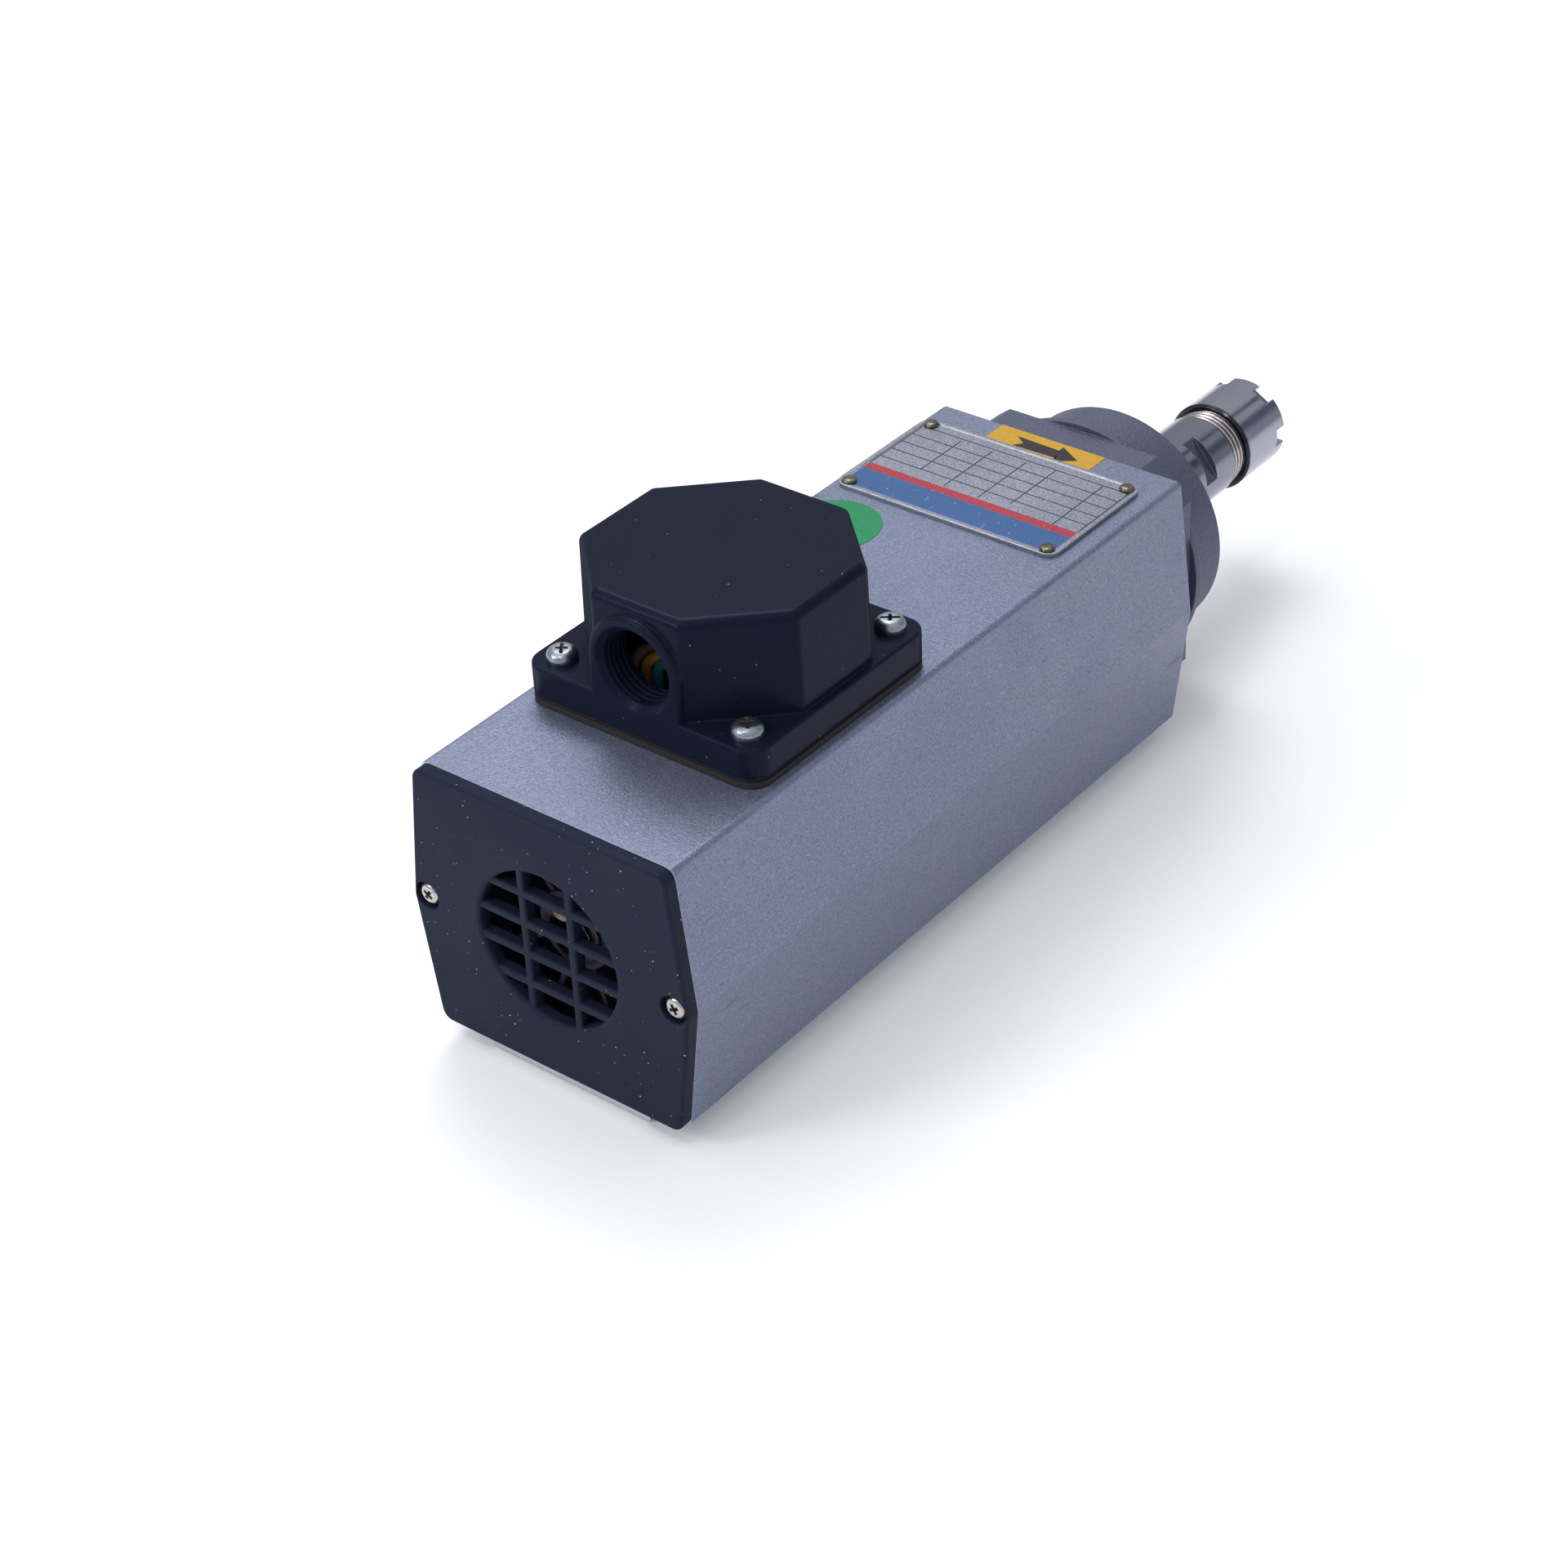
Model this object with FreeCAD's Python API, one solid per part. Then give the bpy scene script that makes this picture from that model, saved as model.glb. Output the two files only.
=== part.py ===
import FreeCAD, Part
import math
import os

# Motor spindle with an extruded six-sided body, a fan-cooled induction motor inside,
# a terminal box on top and a collet nose.
# Millimetres. +X runs along the spindle towards the nose, +Z is up, +Y is left.
# The origin is the centre of the foot's mounting face.

# Running and seating clearances
seat_gap = 0.02
running_gap = 0.05
screw_gap = 0.1
turning_gap = 0.4
screw_tip_gap = 1.0
cut_spare = 1.0

# Extruded body
body_length = 196.0
body_height = 70.0
body_top_width = 72.0
body_waist_width = 80.0
body_bottom_width = 71.0
body_waist_height = 34.0
body_edge_radius = 1.5
body_bore_radius = 31.0
duct_wall = 3.2
duct_waist_rib = 16.0
duct_top_rib = 40.0
foot_width = 47.0
foot_height = 5.0
foot_edge_radius = 1.0
foot_hole_spacing_x = 120.0
foot_hole_spacing_y = 30.0
foot_hole_radius = 2.5
foot_hole_depth = 9.0
fan_chamber_depth = 24.0
lead_hole_radius = 7.0

# Rear cover with its grille
cover_thickness = 3.5
cover_corner_radius = 3.0
cover_edge_radius = 0.8
grille_radius = 19.9
grille_rim_radius = 1.0
grille_setback = 0.6
grille_bar_width = 2.1
grille_bar_edge_radius = 0.6
grille_uprights = 2
grille_crossbars = 4
grille_upright_pitch = 13.8
grille_crossbar_pitch = 8.3
cover_spigot_depth = 2.6
cover_spigot_wall = 1.6
cover_spigot_root = 0.5
cover_screw_inset = 4.1
cover_counterbore_radius = 3.6
cover_counterbore_depth = 2.2
cover_screw_head_radius = 2.85
cover_screw_head_height = 1.9
cover_screw_radius = 1.5
cover_screw_length = 14.0
cover_screw_boss_radius = 4.2

# Bearings: a pair in the nose and one at the rear
front_bearing_bore_radius = 12.5
front_bearing_outer_radius = 23.5
front_bearing_width = 12.0
front_bearing_count = 2
rear_bearing_bore_radius = 8.5
rear_bearing_outer_radius = 17.5
rear_bearing_width = 10.0
bearing_ring_wall = 3.0
raceway_gap = 0.15
front_ball_radius = 3.1
front_ball_count = 10
rear_ball_radius = 2.2
rear_ball_count = 10
cage_thickness = 2.6
cage_margin = 1.0
cage_gap = 0.1
wave_spring_thickness = 0.5
wave_spring_height = 1.2
wave_spring_waves = 3
wave_spring_inset = 0.5
wave_spring_band = 2.6
wave_spring_steps = 8

# Rear shield
rear_shield_wall = 2.2
rear_shield_rim = 4.0
rear_shield_cup_wall = 3.5
rear_shield_opening = 11.5
rear_shield_seat = 3.0
rear_shield_spigot = 4.0
ear_margin = 3.4
ear_width = 15.0
rear_shield_ribs = 6
rear_shield_rib_width = 4.0
rear_shield_rib_inset = 0.5
rear_shield_rib_tip = 2.0

# Front shield
flange_thickness = 10.6
flange_inset_height = 1.8
flange_inset_side = 3.5
step_radius = 35.0
step_thickness = 2.8
nose_wall = 8.1
nose_front = 27.8
spigot_length = 9.0
spigot_wall = 4.0
bearing_shoulder = 2.0
shaft_gap = 2.0
nose_edge_radius = 0.6
step_edge_radius = 1.0

# Front bearing cover
front_cover_lip = 1.8
front_cover_thickness = 4.0
front_cover_screw_inset = 4.8
front_cover_screw_count = 4
front_cover_screw_radius = 1.5
front_cover_screw_head_radius = 2.6
front_cover_screw_length = 10.0

# Through bolts that clamp the two shields to the body
tie_bolt_radius = 1.9
tie_bolt_gap = 0.5
tie_bolt_head_radius = 3.3
tie_bolt_head_height = 3.0
tie_bolt_grip = 8.0

# Stator
stator_start = 58.0
stator_length = 88.0
stator_bore_radius = 17.5
stator_slots = 24
slot_width = 3.0
slot_inner_radius = 18.6
slot_outer_radius = 25.4
slot_mouth_width = 1.5
winding_overhang = 15.0
winding_clearance = 0.25
winding_gap = 1.0
bundle_clearance = 0.3
lead_exit_setback = 9.0
lead_exit_offset = 12.0

# Rotor
air_gap = 0.35
rotor_shaft_radius = 13.0
cage_ring_length = 6.0
cage_ring_inner_radius = 13.6
cage_ring_inset = 0.5

# Shaft
fan_seat_radius = 6.0
shaft_tail = 4.0
rear_journal_radius = 11.0
journal_radius = 15.4
nose_shaft_radius = 11.5
thread_radius = 11.0
thread_depth = 0.8
thread_length = 15.2
wrench_flat_width = 5.2
wrench_flat_span = 19.0
wrench_flat_start = 53.4
wrench_flat_angle = 142.0
lock_nut_radius = 17.0
lock_nut_length = 6.5
lock_nut_slots = 4
lock_nut_slot_width = 4.0
lock_nut_slot_depth = 2.0

# Fan
fan_radius = 27.0
fan_length = 12.0
fan_hub_radius = 10.0
fan_disc_thickness = 1.6
fan_blades = 9
fan_blade_thickness = 1.4
fan_blade_step = 1.0
fan_blade_inset = 0.5
tail_land = 0.8
circlip_thickness = 1.0
circlip_groove_depth = 0.5
circlip_width = 2.4
circlip_opening = 3.0

# Collet and collet nut
nut_radius = 12.5
nut_length = 18.8
nut_front = 91.7
nut_slots = 6
nut_slot_width = 5.0
nut_slot_length = 4.2
nut_slot_depth = 2.6
nut_slot_angle = 61.0
nut_lip = 2.8
nut_mouth_radius = 6.4
nut_mouth_chamfer = 0.8
nut_thread_runout = 0.4
nut_edge_chamfer = 0.5
nut_ring_gap = 0.15
taper_mouth_radius = 8.0
taper_half_angle = 8.0
taper_depth = 21.5
shaft_bore_radius = 4.6
shaft_bore_depth = 42.0
collet_length = 27.5
collet_bore_radius = 3.0
collet_head_radius = 8.4
collet_face_radius = 6.9
collet_groove_radius = 7.2
collet_groove_width = 1.4
collet_front_spare = 7.0
collet_rear_spare = 5.0
collet_cone_angle = 30.0
collet_slits = 4
collet_slit_width = 0.8
shaft_end_to_groove = 1.2
collet_head_land = 1.0

# Terminal box
box_center = 63.3
box_length = 64.2
box_width = 66.6
box_corner_radius = 5.5
gasket_thickness = 2.6
gasket_foot = 1.5
gasket_inset = 0.8
box_flange_thickness = 7.4
box_height = 35.0
dome_inset_length = 1.0
dome_inset_width = 1.6
dome_draft_length = 0.9
dome_draft_width = 0.9
dome_side_length = 25.2
dome_side_width = 24.6
dome_edge_radius = 2.3
flange_edge_radius = 0.6
box_wall = 2.6
box_screw_inset_x = 6.3
box_screw_inset_y = 6.8
box_screw_radius = 2.0
box_screw_head_radius = 3.7
box_screw_head_height = 2.9
box_screw_length = 14.0
box_screw_hole_depth = 6.0
entry_height = 19.6
entry_radius = 9.2
entry_chamfer = 1.5
entry_boss_radius = 12.9
entry_boss_edge_radius = 1.0
entry_depth = 9.0
terminal_block_length = 16.0
terminal_block_width = 34.0
terminal_block_height = 9.0
terminal_barrier = 3.0
terminal_block_offset = 9.0
terminal_columns = 3
terminal_rows = 2
terminal_pitch_x = 8.0
terminal_pitch_y = 10.0
stud_radius = 1.5
stud_height = 4.5
stud_root = 1.0
barrier_width = 1.6
stud_nut_radius = 2.8
stud_nut_height = 2.0
lead_radius = 1.3
lead_pitch = 3.4
lead_bend_radius = 3.0
lead_straight = 7.0

# Nameplate
plate_length = 39.4
plate_width = 65.2
plate_thickness = 0.8
plate_corner_radius = 3.4
plate_center = 167.2
plate_offset = 1.8
plate_rim_width = 1.1
plate_rim_height = 0.25
rivet_inset_x = 2.4
rivet_inset_y = 3.1
rivet_radius = 1.9
rivet_height = 1.1
rivet_length = 3.3
rivet_hole_depth = 3.0

# Places worked out from the sizes
rear_x = -body_length / 2
front_x = body_length / 2
body_bottom_z = foot_height
body_top_z = foot_height + body_height
axis_z = foot_height + body_height / 2
axis_point = FreeCAD.Vector(0, 0, axis_z)
along_x = FreeCAD.Vector(1, 0, 0)
up = FreeCAD.Vector(0, 0, 1)
rear_shield_start = rear_x + fan_chamber_depth - rear_shield_rim
rear_bearing_start = rear_shield_start + rear_shield_wall + wave_spring_height
rear_bearing_end = rear_bearing_start + rear_bearing_width
nose_front_x = front_x + nose_front
nose_radius = front_bearing_outer_radius + nose_wall
front_cover_radius = nose_radius - front_cover_lip
tie_bolt_reach = body_bore_radius + duct_wall + tie_bolt_radius + tie_bolt_gap
ear_radius = tie_bolt_reach + ear_margin
rear_shield_rim_radius = body_bore_radius + rear_shield_seat
flange_flat_height = body_height / 2 - flange_inset_height
flange_flat_side = body_top_width / 2 - flange_inset_side
cover_screw_offset = body_waist_width / 2 - cover_screw_inset
front_bearing_end = nose_front_x - front_cover_thickness
front_bearing_start = front_bearing_end - front_bearing_count * front_bearing_width
stator_start_x = rear_x + stator_start
stator_end_x = stator_start_x + stator_length
nut_front_x = front_x + nut_front
nut_rear_x = nut_front_x - nut_length
collet_front_x = nut_front_x - nut_lip
collet_rear_x = collet_front_x - collet_length
cone_slope = math.tan(math.radians(collet_cone_angle))
cone_length = (collet_head_radius - collet_face_radius) / cone_slope
head_rear_x = collet_front_x - cone_length - collet_head_land
groove_rear_x = head_rear_x - collet_groove_width
shaft_end_x = groove_rear_x - shaft_end_to_groove
taper_slope = math.tan(math.radians(taper_half_angle))
box_center_x = rear_x + box_center
dome_base_length = box_length - 2 * dome_inset_length
dome_base_width = box_width - 2 * dome_inset_width
dome_top_length = dome_base_length - 2 * dome_draft_length
dome_top_width = dome_base_width - 2 * dome_draft_width
lead_exit_x = stator_start_x - lead_exit_setback
flange_top_z = body_top_z + gasket_thickness + box_flange_thickness
box_top_z = body_top_z + box_height
box_face_x = box_center_x - box_length / 2
entry_z = body_top_z + entry_height
plate_center_x = rear_x + plate_center


def cylinder_x(radius, start, end, y=0.0, z=axis_z):
    """A round bar along X from start to end."""
    return Part.makeCylinder(radius, end - start, FreeCAD.Vector(start, y, z), along_x)


def tube_x(outer, inner, start, end):
    """A round sleeve on the spindle axis."""
    return cylinder_x(outer, start, end).cut(cylinder_x(inner, start, end))


def box_between(x0, x1, y0, y1, z0, z1):
    return Part.makeBox(x1 - x0, y1 - y0, z1 - z0, FreeCAD.Vector(x0, y0, z0))


def revolve_x(profile):
    """Turns a closed profile of (x, radius) points about the spindle axis."""
    points = [FreeCAD.Vector(x, 0, axis_z + r) for x, r in profile]
    face = Part.Face(Part.makePolygon(points + [points[0]]))
    return face.revolve(axis_point, along_x, 360)


def prism_x(outline, start, end):
    """Extrudes a closed outline of (y, z) points along X."""
    points = [FreeCAD.Vector(start, y, z) for y, z in outline]
    face = Part.Face(Part.makePolygon(points + [points[0]]))
    return face.extrude(FreeCAD.Vector(end - start, 0, 0))


def rounded_plate(length, width, radius, x, y, z, height):
    """An upright plate with four rounded corners, centred on x and y."""
    plate = box_between(x - length / 2, x + length / 2, y - width / 2, y + width / 2, z, z + height)
    uprights = [e for e in plate.Edges if abs(e.BoundBox.ZLength - height) < 1e-6]
    return plate.makeFillet(radius, uprights)


def edges_along_x(shape, length):
    return [e for e in shape.Edges if abs(e.BoundBox.XLength - length) < 1e-6]


def around_axis(shape, angle):
    turned = shape.copy()
    turned.rotate(axis_point, along_x, angle)
    return turned


def save(name, shape):
    shape.exportStep("parts/" + name + ".step")


def body_outline(inset):
    """The six-sided section, moved inwards by a wall thickness."""
    top = body_top_width / 2 - inset
    waist = body_waist_width / 2 - inset
    bottom = body_bottom_width / 2 - inset
    waist_z = body_bottom_z + body_waist_height
    low = body_bottom_z + inset
    high = body_top_z - inset
    return [(top, high), (waist, waist_z), (bottom, low),
            (-bottom, low), (-waist, waist_z), (-top, high)]


def body_prism(inset, start, end, radius):
    prism = prism_x(body_outline(inset), start, end)
    return prism.makeFillet(radius, edges_along_x(prism, end - start))


def corner_ducts(start, end):
    """Four air ducts between the bore's wall and the corners of the section."""
    core = cylinder_x(body_bore_radius + duct_wall, start, end)
    ducts = prism_x(body_outline(duct_wall), start, end).cut(core)
    waist = body_waist_width
    ducts = ducts.cut(box_between(start, end, -waist, waist, axis_z - duct_waist_rib / 2,
                                  axis_z + duct_waist_rib / 2))
    return ducts.cut(box_between(start, end, -duct_top_rib / 2, duct_top_rib / 2,
                                 body_bottom_z, body_top_z))


def cover_screw_places():
    return [(-cover_screw_offset, axis_z), (cover_screw_offset, axis_z)]


def box_screw_places():
    reach_x = box_length / 2 - box_screw_inset_x
    reach_y = box_width / 2 - box_screw_inset_y
    return [(box_center_x + sx * reach_x, sy * reach_y) for sx in (-1, 1) for sy in (-1, 1)]


def tie_bolt_places():
    angles = [math.radians(45 + 90 * i) for i in range(4)]
    return [(tie_bolt_reach * math.cos(a), axis_z + tie_bolt_reach * math.sin(a)) for a in angles]


def rivet_places():
    reach_x = plate_length / 2 - rivet_inset_x
    reach_y = plate_width / 2 - rivet_inset_y
    return [(plate_center_x + sx * reach_x, plate_offset + sy * reach_y)
            for sx in (-1, 1) for sy in (-1, 1)]


def make_body():
    body = body_prism(0, rear_x, front_x, body_edge_radius)
    foot = box_between(rear_x, front_x, -foot_width / 2, foot_width / 2, 0,
                       body_bottom_z + duct_wall)
    low_edges = [e for e in edges_along_x(foot, body_length) if e.BoundBox.ZMax < 0.01]
    body = body.fuse(foot.makeFillet(foot_edge_radius, low_edges)).removeSplitter()
    body = body.cut(cylinder_x(body_bore_radius, rear_x, front_x))
    body = body.cut(corner_ducts(rear_x, front_x))
    chamber_end = rear_x + fan_chamber_depth
    chamber = prism_x(body_outline(duct_wall), rear_x, chamber_end)
    for y, z in cover_screw_places():
        side = 1 if y > 0 else -1
        boss = cylinder_x(cover_screw_boss_radius, rear_x, chamber_end, y, z)
        web_y = sorted((y, side * body_waist_width / 2))
        web = box_between(rear_x, chamber_end, web_y[0], web_y[1],
                          z - cover_screw_boss_radius, z + cover_screw_boss_radius)
        chamber = chamber.cut(boss).cut(web)
    body = body.cut(chamber)
    for y, z in cover_screw_places():
        body = body.cut(cylinder_x(cover_screw_radius + seat_gap, rear_x,
                                   rear_x + cover_screw_length, y, z))
    for x, y in box_screw_places():
        body = body.cut(Part.makeCylinder(box_screw_radius + seat_gap, box_screw_hole_depth,
                                          FreeCAD.Vector(x, y, body_top_z - box_screw_hole_depth)))
    for sx in (-1, 1):
        for sy in (-1, 1):
            place = FreeCAD.Vector(sx * foot_hole_spacing_x / 2, sy * foot_hole_spacing_y / 2, 0)
            body = body.cut(Part.makeCylinder(foot_hole_radius, foot_hole_depth, place))
    for x, y in rivet_places():
        body = body.cut(Part.makeCylinder(rivet_radius / 2, rivet_hole_depth,
                                          FreeCAD.Vector(x, y, body_top_z - rivet_hole_depth)))
    leads = Part.makeCylinder(lead_hole_radius, body_height / 2,
                              FreeCAD.Vector(lead_exit_x, lead_exit_offset, axis_z))
    return body.cut(leads)


def grille_bars():
    """Uprights and crossbars with rounded fronts that run into the opening's wall."""
    start = rear_x - cover_thickness + grille_setback
    reach = grille_radius + grille_rim_radius
    half = grille_bar_width / 2
    bars = []
    for i in range(grille_uprights):
        y = (i - (grille_uprights - 1) / 2) * grille_upright_pitch
        bars.append(box_between(start, rear_x, y - half, y + half, axis_z - reach, axis_z + reach))
    for i in range(grille_crossbars):
        z = axis_z + (i - (grille_crossbars - 1) / 2) * grille_crossbar_pitch
        bars.append(box_between(start, rear_x, -reach, reach, z - half, z + half))
    rounded = [bar.makeFillet(grille_bar_edge_radius, front_edges(bar, start, reach)) for bar in bars]
    grid = rounded[0].multiFuse(rounded[1:])
    return grid.common(cylinder_x(reach, start, rear_x))


def front_edges(bar, start, length):
    """The two long edges of a bar on its front face."""
    return [e for e in bar.Edges if e.BoundBox.XMax < start + 0.01 and e.Length > length]


def make_rear_cover():
    face_x = rear_x - cover_thickness
    cover = body_prism(0, face_x, rear_x, cover_corner_radius)
    face_edges = [e for e in cover.Edges if e.BoundBox.XMax < face_x + 0.01]
    cover = cover.makeFillet(cover_edge_radius, face_edges)
    cover = cover.cut(cylinder_x(grille_radius, face_x, rear_x))
    rim = [e for e in cover.Edges if e.BoundBox.XMax < face_x + 0.01
           and abs(e.BoundBox.YMax - grille_radius) < 0.01]
    cover = cover.makeFillet(grille_rim_radius, rim)
    lip_inset = duct_wall + screw_gap
    lip_start = rear_x - cover_spigot_root
    lip_end = rear_x + cover_spigot_depth
    lip = prism_x(body_outline(lip_inset), lip_start, lip_end)
    hollow = prism_x(body_outline(lip_inset + cover_spigot_wall), lip_start, lip_end)
    cover = cover.fuse(lip.cut(hollow))
    cover = cover.fuse(grille_bars())
    for y, z in cover_screw_places():
        cover = cover.cut(cylinder_x(cover_counterbore_radius, face_x,
                                     face_x + cover_counterbore_depth, y, z))
        cover = cover.cut(cylinder_x(cover_screw_radius + screw_gap, face_x, rear_x, y, z))
        boss_gap = cover_screw_boss_radius + turning_gap
        lip_y = sorted((y, y + boss_gap * 2 if y > 0 else y - boss_gap * 2))
        cover = cover.cut(cylinder_x(boss_gap, rear_x, lip_end, y, z))
        cover = cover.cut(box_between(rear_x, lip_end, lip_y[0], lip_y[1], z - boss_gap, z + boss_gap))
    return cover.removeSplitter()


def pan_screw(head_radius, head_height, radius, length):
    """A screw pointing down -Z from the seat of its head at the origin."""
    profile = [(0, -length), (radius, -length), (radius, 0), (head_radius, 0),
               (head_radius, head_height * 0.5), (head_radius * 0.84, head_height * 0.86),
               (head_radius * 0.5, head_height), (0, head_height)]
    points = [FreeCAD.Vector(r, 0, z) for r, z in profile]
    face = Part.Face(Part.makePolygon(points + [points[0]]))
    return face.revolve(FreeCAD.Vector(0, 0, 0), up, 360)


def point_down(shape, direction, place):
    """Turns a screw so that its shank runs along the direction, with its seat at the place."""
    turned = shape.copy()
    turn = FreeCAD.Rotation(FreeCAD.Vector(0, 0, -1), direction)
    turned.Placement = FreeCAD.Placement(place, turn)
    return turned


def make_cover_screws():
    seat_x = rear_x - cover_thickness + cover_counterbore_depth
    length = cover_screw_length + cover_thickness - cover_counterbore_depth - screw_tip_gap
    screw = pan_screw(cover_screw_head_radius, cover_screw_head_height, cover_screw_radius, length)
    return Part.makeCompound([point_down(screw, along_x, FreeCAD.Vector(seat_x, y, z))
                              for y, z in cover_screw_places()])


def ears(start, end):
    """Four lugs at the corners, on one circle, for the through bolts."""
    lugs = []
    for i in range(4):
        lug = box_between(start, end, -ear_width / 2, ear_width / 2, axis_z, axis_z + ear_radius)
        lugs.append(around_axis(lug, 45 + 90 * i))
    return lugs[0].multiFuse(lugs[1:]).common(cylinder_x(ear_radius, start, end))


def make_rear_shield():
    """A ribbed end shield: it stands on the fan chamber's floor and holds the rear bearing."""
    start = rear_shield_start
    seat_x = rear_x + fan_chamber_depth
    cup_outer = rear_bearing_outer_radius + rear_shield_cup_wall
    spigot_radius = body_bore_radius - seat_gap
    rim = cylinder_x(rear_shield_rim_radius, start, seat_x).fuse(ears(start, seat_x))
    rim = rim.common(prism_x(body_outline(duct_wall + turning_gap), start, seat_x))
    shield = rim.fuse(cylinder_x(spigot_radius, seat_x, seat_x + rear_shield_spigot))
    shield = shield.fuse(cylinder_x(cup_outer, start, rear_bearing_end))
    corner = prism_cut(seat_x + rear_shield_spigot, rear_bearing_end, cup_outer, spigot_radius)
    for i in range(rear_shield_ribs):
        rib = box_between(start, rear_bearing_end, -rear_shield_rib_width / 2,
                          rear_shield_rib_width / 2, axis_z,
                          axis_z + spigot_radius - rear_shield_rib_inset)
        shield = shield.fuse(around_axis(rib.cut(corner), 360 / rear_shield_ribs * i))
    shield = shield.cut(cylinder_x(rear_bearing_outer_radius + seat_gap,
                                   start + rear_shield_wall, rear_bearing_end))
    shield = shield.cut(cylinder_x(rear_shield_opening, start, rear_bearing_end))
    for y, z in tie_bolt_places():
        shield = shield.cut(cylinder_x(tie_bolt_radius + screw_gap, start, seat_x, y, z))
    for y, z in cover_screw_places():
        shield = shield.cut(cylinder_x(cover_screw_boss_radius + turning_gap, start, seat_x, y, z))
    return shield.removeSplitter()


def prism_cut(low_x, high_x, inner_radius, outer_radius):
    """A wedge that slopes a rib from the cup's height down to the rim."""
    wide = rear_shield_rib_width
    top_z = axis_z + outer_radius + cut_spare
    end_x = high_x + cut_spare
    points = [FreeCAD.Vector(low_x, -wide, top_z),
              FreeCAD.Vector(low_x, -wide, axis_z + outer_radius - rear_shield_rib_tip),
              FreeCAD.Vector(high_x, -wide, axis_z + inner_radius),
              FreeCAD.Vector(end_x, -wide, axis_z + inner_radius),
              FreeCAD.Vector(end_x, -wide, top_z)]
    face = Part.Face(Part.makePolygon(points + [points[0]]))
    return face.extrude(FreeCAD.Vector(0, 2 * wide, 0))


def make_front_shield():
    """The flange with its four ears, the round step, the nose and the spigot in the bore."""
    flange = cylinder_x(ear_radius, front_x, front_x + flange_thickness)
    flange = flange.common(box_between(front_x, front_x + flange_thickness, -flange_flat_side,
                                       flange_flat_side, axis_z - flange_flat_height,
                                       axis_z + flange_flat_height))
    step_end = front_x + flange_thickness + step_thickness
    step = cylinder_x(step_radius, front_x + flange_thickness, step_end)
    step = step.makeFillet(step_edge_radius,
                           [e for e in step.Edges if e.BoundBox.XMin > step_end - 0.01])
    nose = cylinder_x(nose_radius, step_end, nose_front_x)
    nose = nose.makeFillet(nose_edge_radius,
                           [e for e in nose.Edges if e.BoundBox.XMin > nose_front_x - 0.01])
    spigot = cylinder_x(body_bore_radius - seat_gap, front_x - spigot_length, front_x)
    shield = flange.fuse(step).fuse(nose).fuse(spigot)
    hollow_radius = body_bore_radius - spigot_wall
    seat_start = front_bearing_start
    shield = shield.cut(cylinder_x(hollow_radius, front_x - spigot_length,
                                   seat_start - bearing_shoulder))
    shield = shield.cut(cylinder_x(journal_radius + shaft_gap, front_x - spigot_length, nose_front_x))
    shield = shield.cut(cylinder_x(front_bearing_outer_radius + seat_gap, seat_start, nose_front_x))
    shield = shield.cut(cylinder_x(front_cover_radius + screw_gap, front_bearing_end, nose_front_x))
    for y, z in tie_bolt_places():
        shield = shield.cut(cylinder_x(tie_bolt_radius + seat_gap, front_x,
                                       front_x + tie_bolt_grip, y, z))
    for y, z in front_cover_screw_places():
        shield = shield.cut(cylinder_x(front_cover_screw_radius + seat_gap,
                                       nose_front_x - front_cover_screw_length - screw_tip_gap,
                                       front_bearing_end, y, z))
    return shield.removeSplitter()


def front_cover_screw_places():
    reach = nose_radius - front_cover_screw_inset
    step = 360 / front_cover_screw_count
    angles = [math.radians(step * (i + 0.5)) for i in range(front_cover_screw_count)]
    return [(reach * math.cos(a), axis_z + reach * math.sin(a)) for a in angles]


def screw_countersink(y, z, grow):
    """The cone under a flat screw head that is flush with the nose's front face."""
    depth = front_cover_screw_head_radius - front_cover_screw_radius
    return Part.makeCone(front_cover_screw_head_radius + grow, front_cover_screw_radius + grow,
                         depth, FreeCAD.Vector(nose_front_x, y, z), FreeCAD.Vector(-1, 0, 0))


def make_front_cover():
    cover = tube_x(front_cover_radius, lock_nut_radius + turning_gap, front_bearing_end,
                   nose_front_x)
    for y, z in front_cover_screw_places():
        cover = cover.cut(screw_countersink(y, z, seat_gap))
        cover = cover.cut(cylinder_x(front_cover_screw_radius + seat_gap, front_bearing_end,
                                     nose_front_x, y, z))
    return cover


def make_front_cover_screws():
    screws = []
    for y, z in front_cover_screw_places():
        shank = cylinder_x(front_cover_screw_radius, nose_front_x - front_cover_screw_length,
                           nose_front_x, y, z)
        screws.append(shank.fuse(screw_countersink(y, z, 0)).removeSplitter())
    return Part.makeCompound(screws)


def make_tie_bolts():
    seat_x = rear_shield_start
    tip_x = front_x + tie_bolt_grip - screw_tip_gap
    bolts = []
    for y, z in tie_bolt_places():
        head = cylinder_x(tie_bolt_head_radius, seat_x - tie_bolt_head_height, seat_x, y, z)
        bolts.append(head.fuse(cylinder_x(tie_bolt_radius, seat_x, tip_x, y, z)))
    return Part.makeCompound(bolts)


def raceway_radius(bore, outer):
    """The radius of the circle on which a bearing's balls run."""
    return (bore + outer) / 2


def bearing_rings(bore, outer, start, width, ball_radius):
    """The outer and inner ring of one bearing, with the groove of the balls in each."""
    groove = Part.makeTorus(raceway_radius(bore, outer), ball_radius + raceway_gap,
                            FreeCAD.Vector(start + width / 2, 0, axis_z), along_x)
    outer_ring = tube_x(outer, outer - bearing_ring_wall, start, start + width).cut(groove)
    inner_ring = tube_x(bore + bearing_ring_wall, bore, start, start + width).cut(groove)
    return outer_ring, inner_ring


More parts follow.
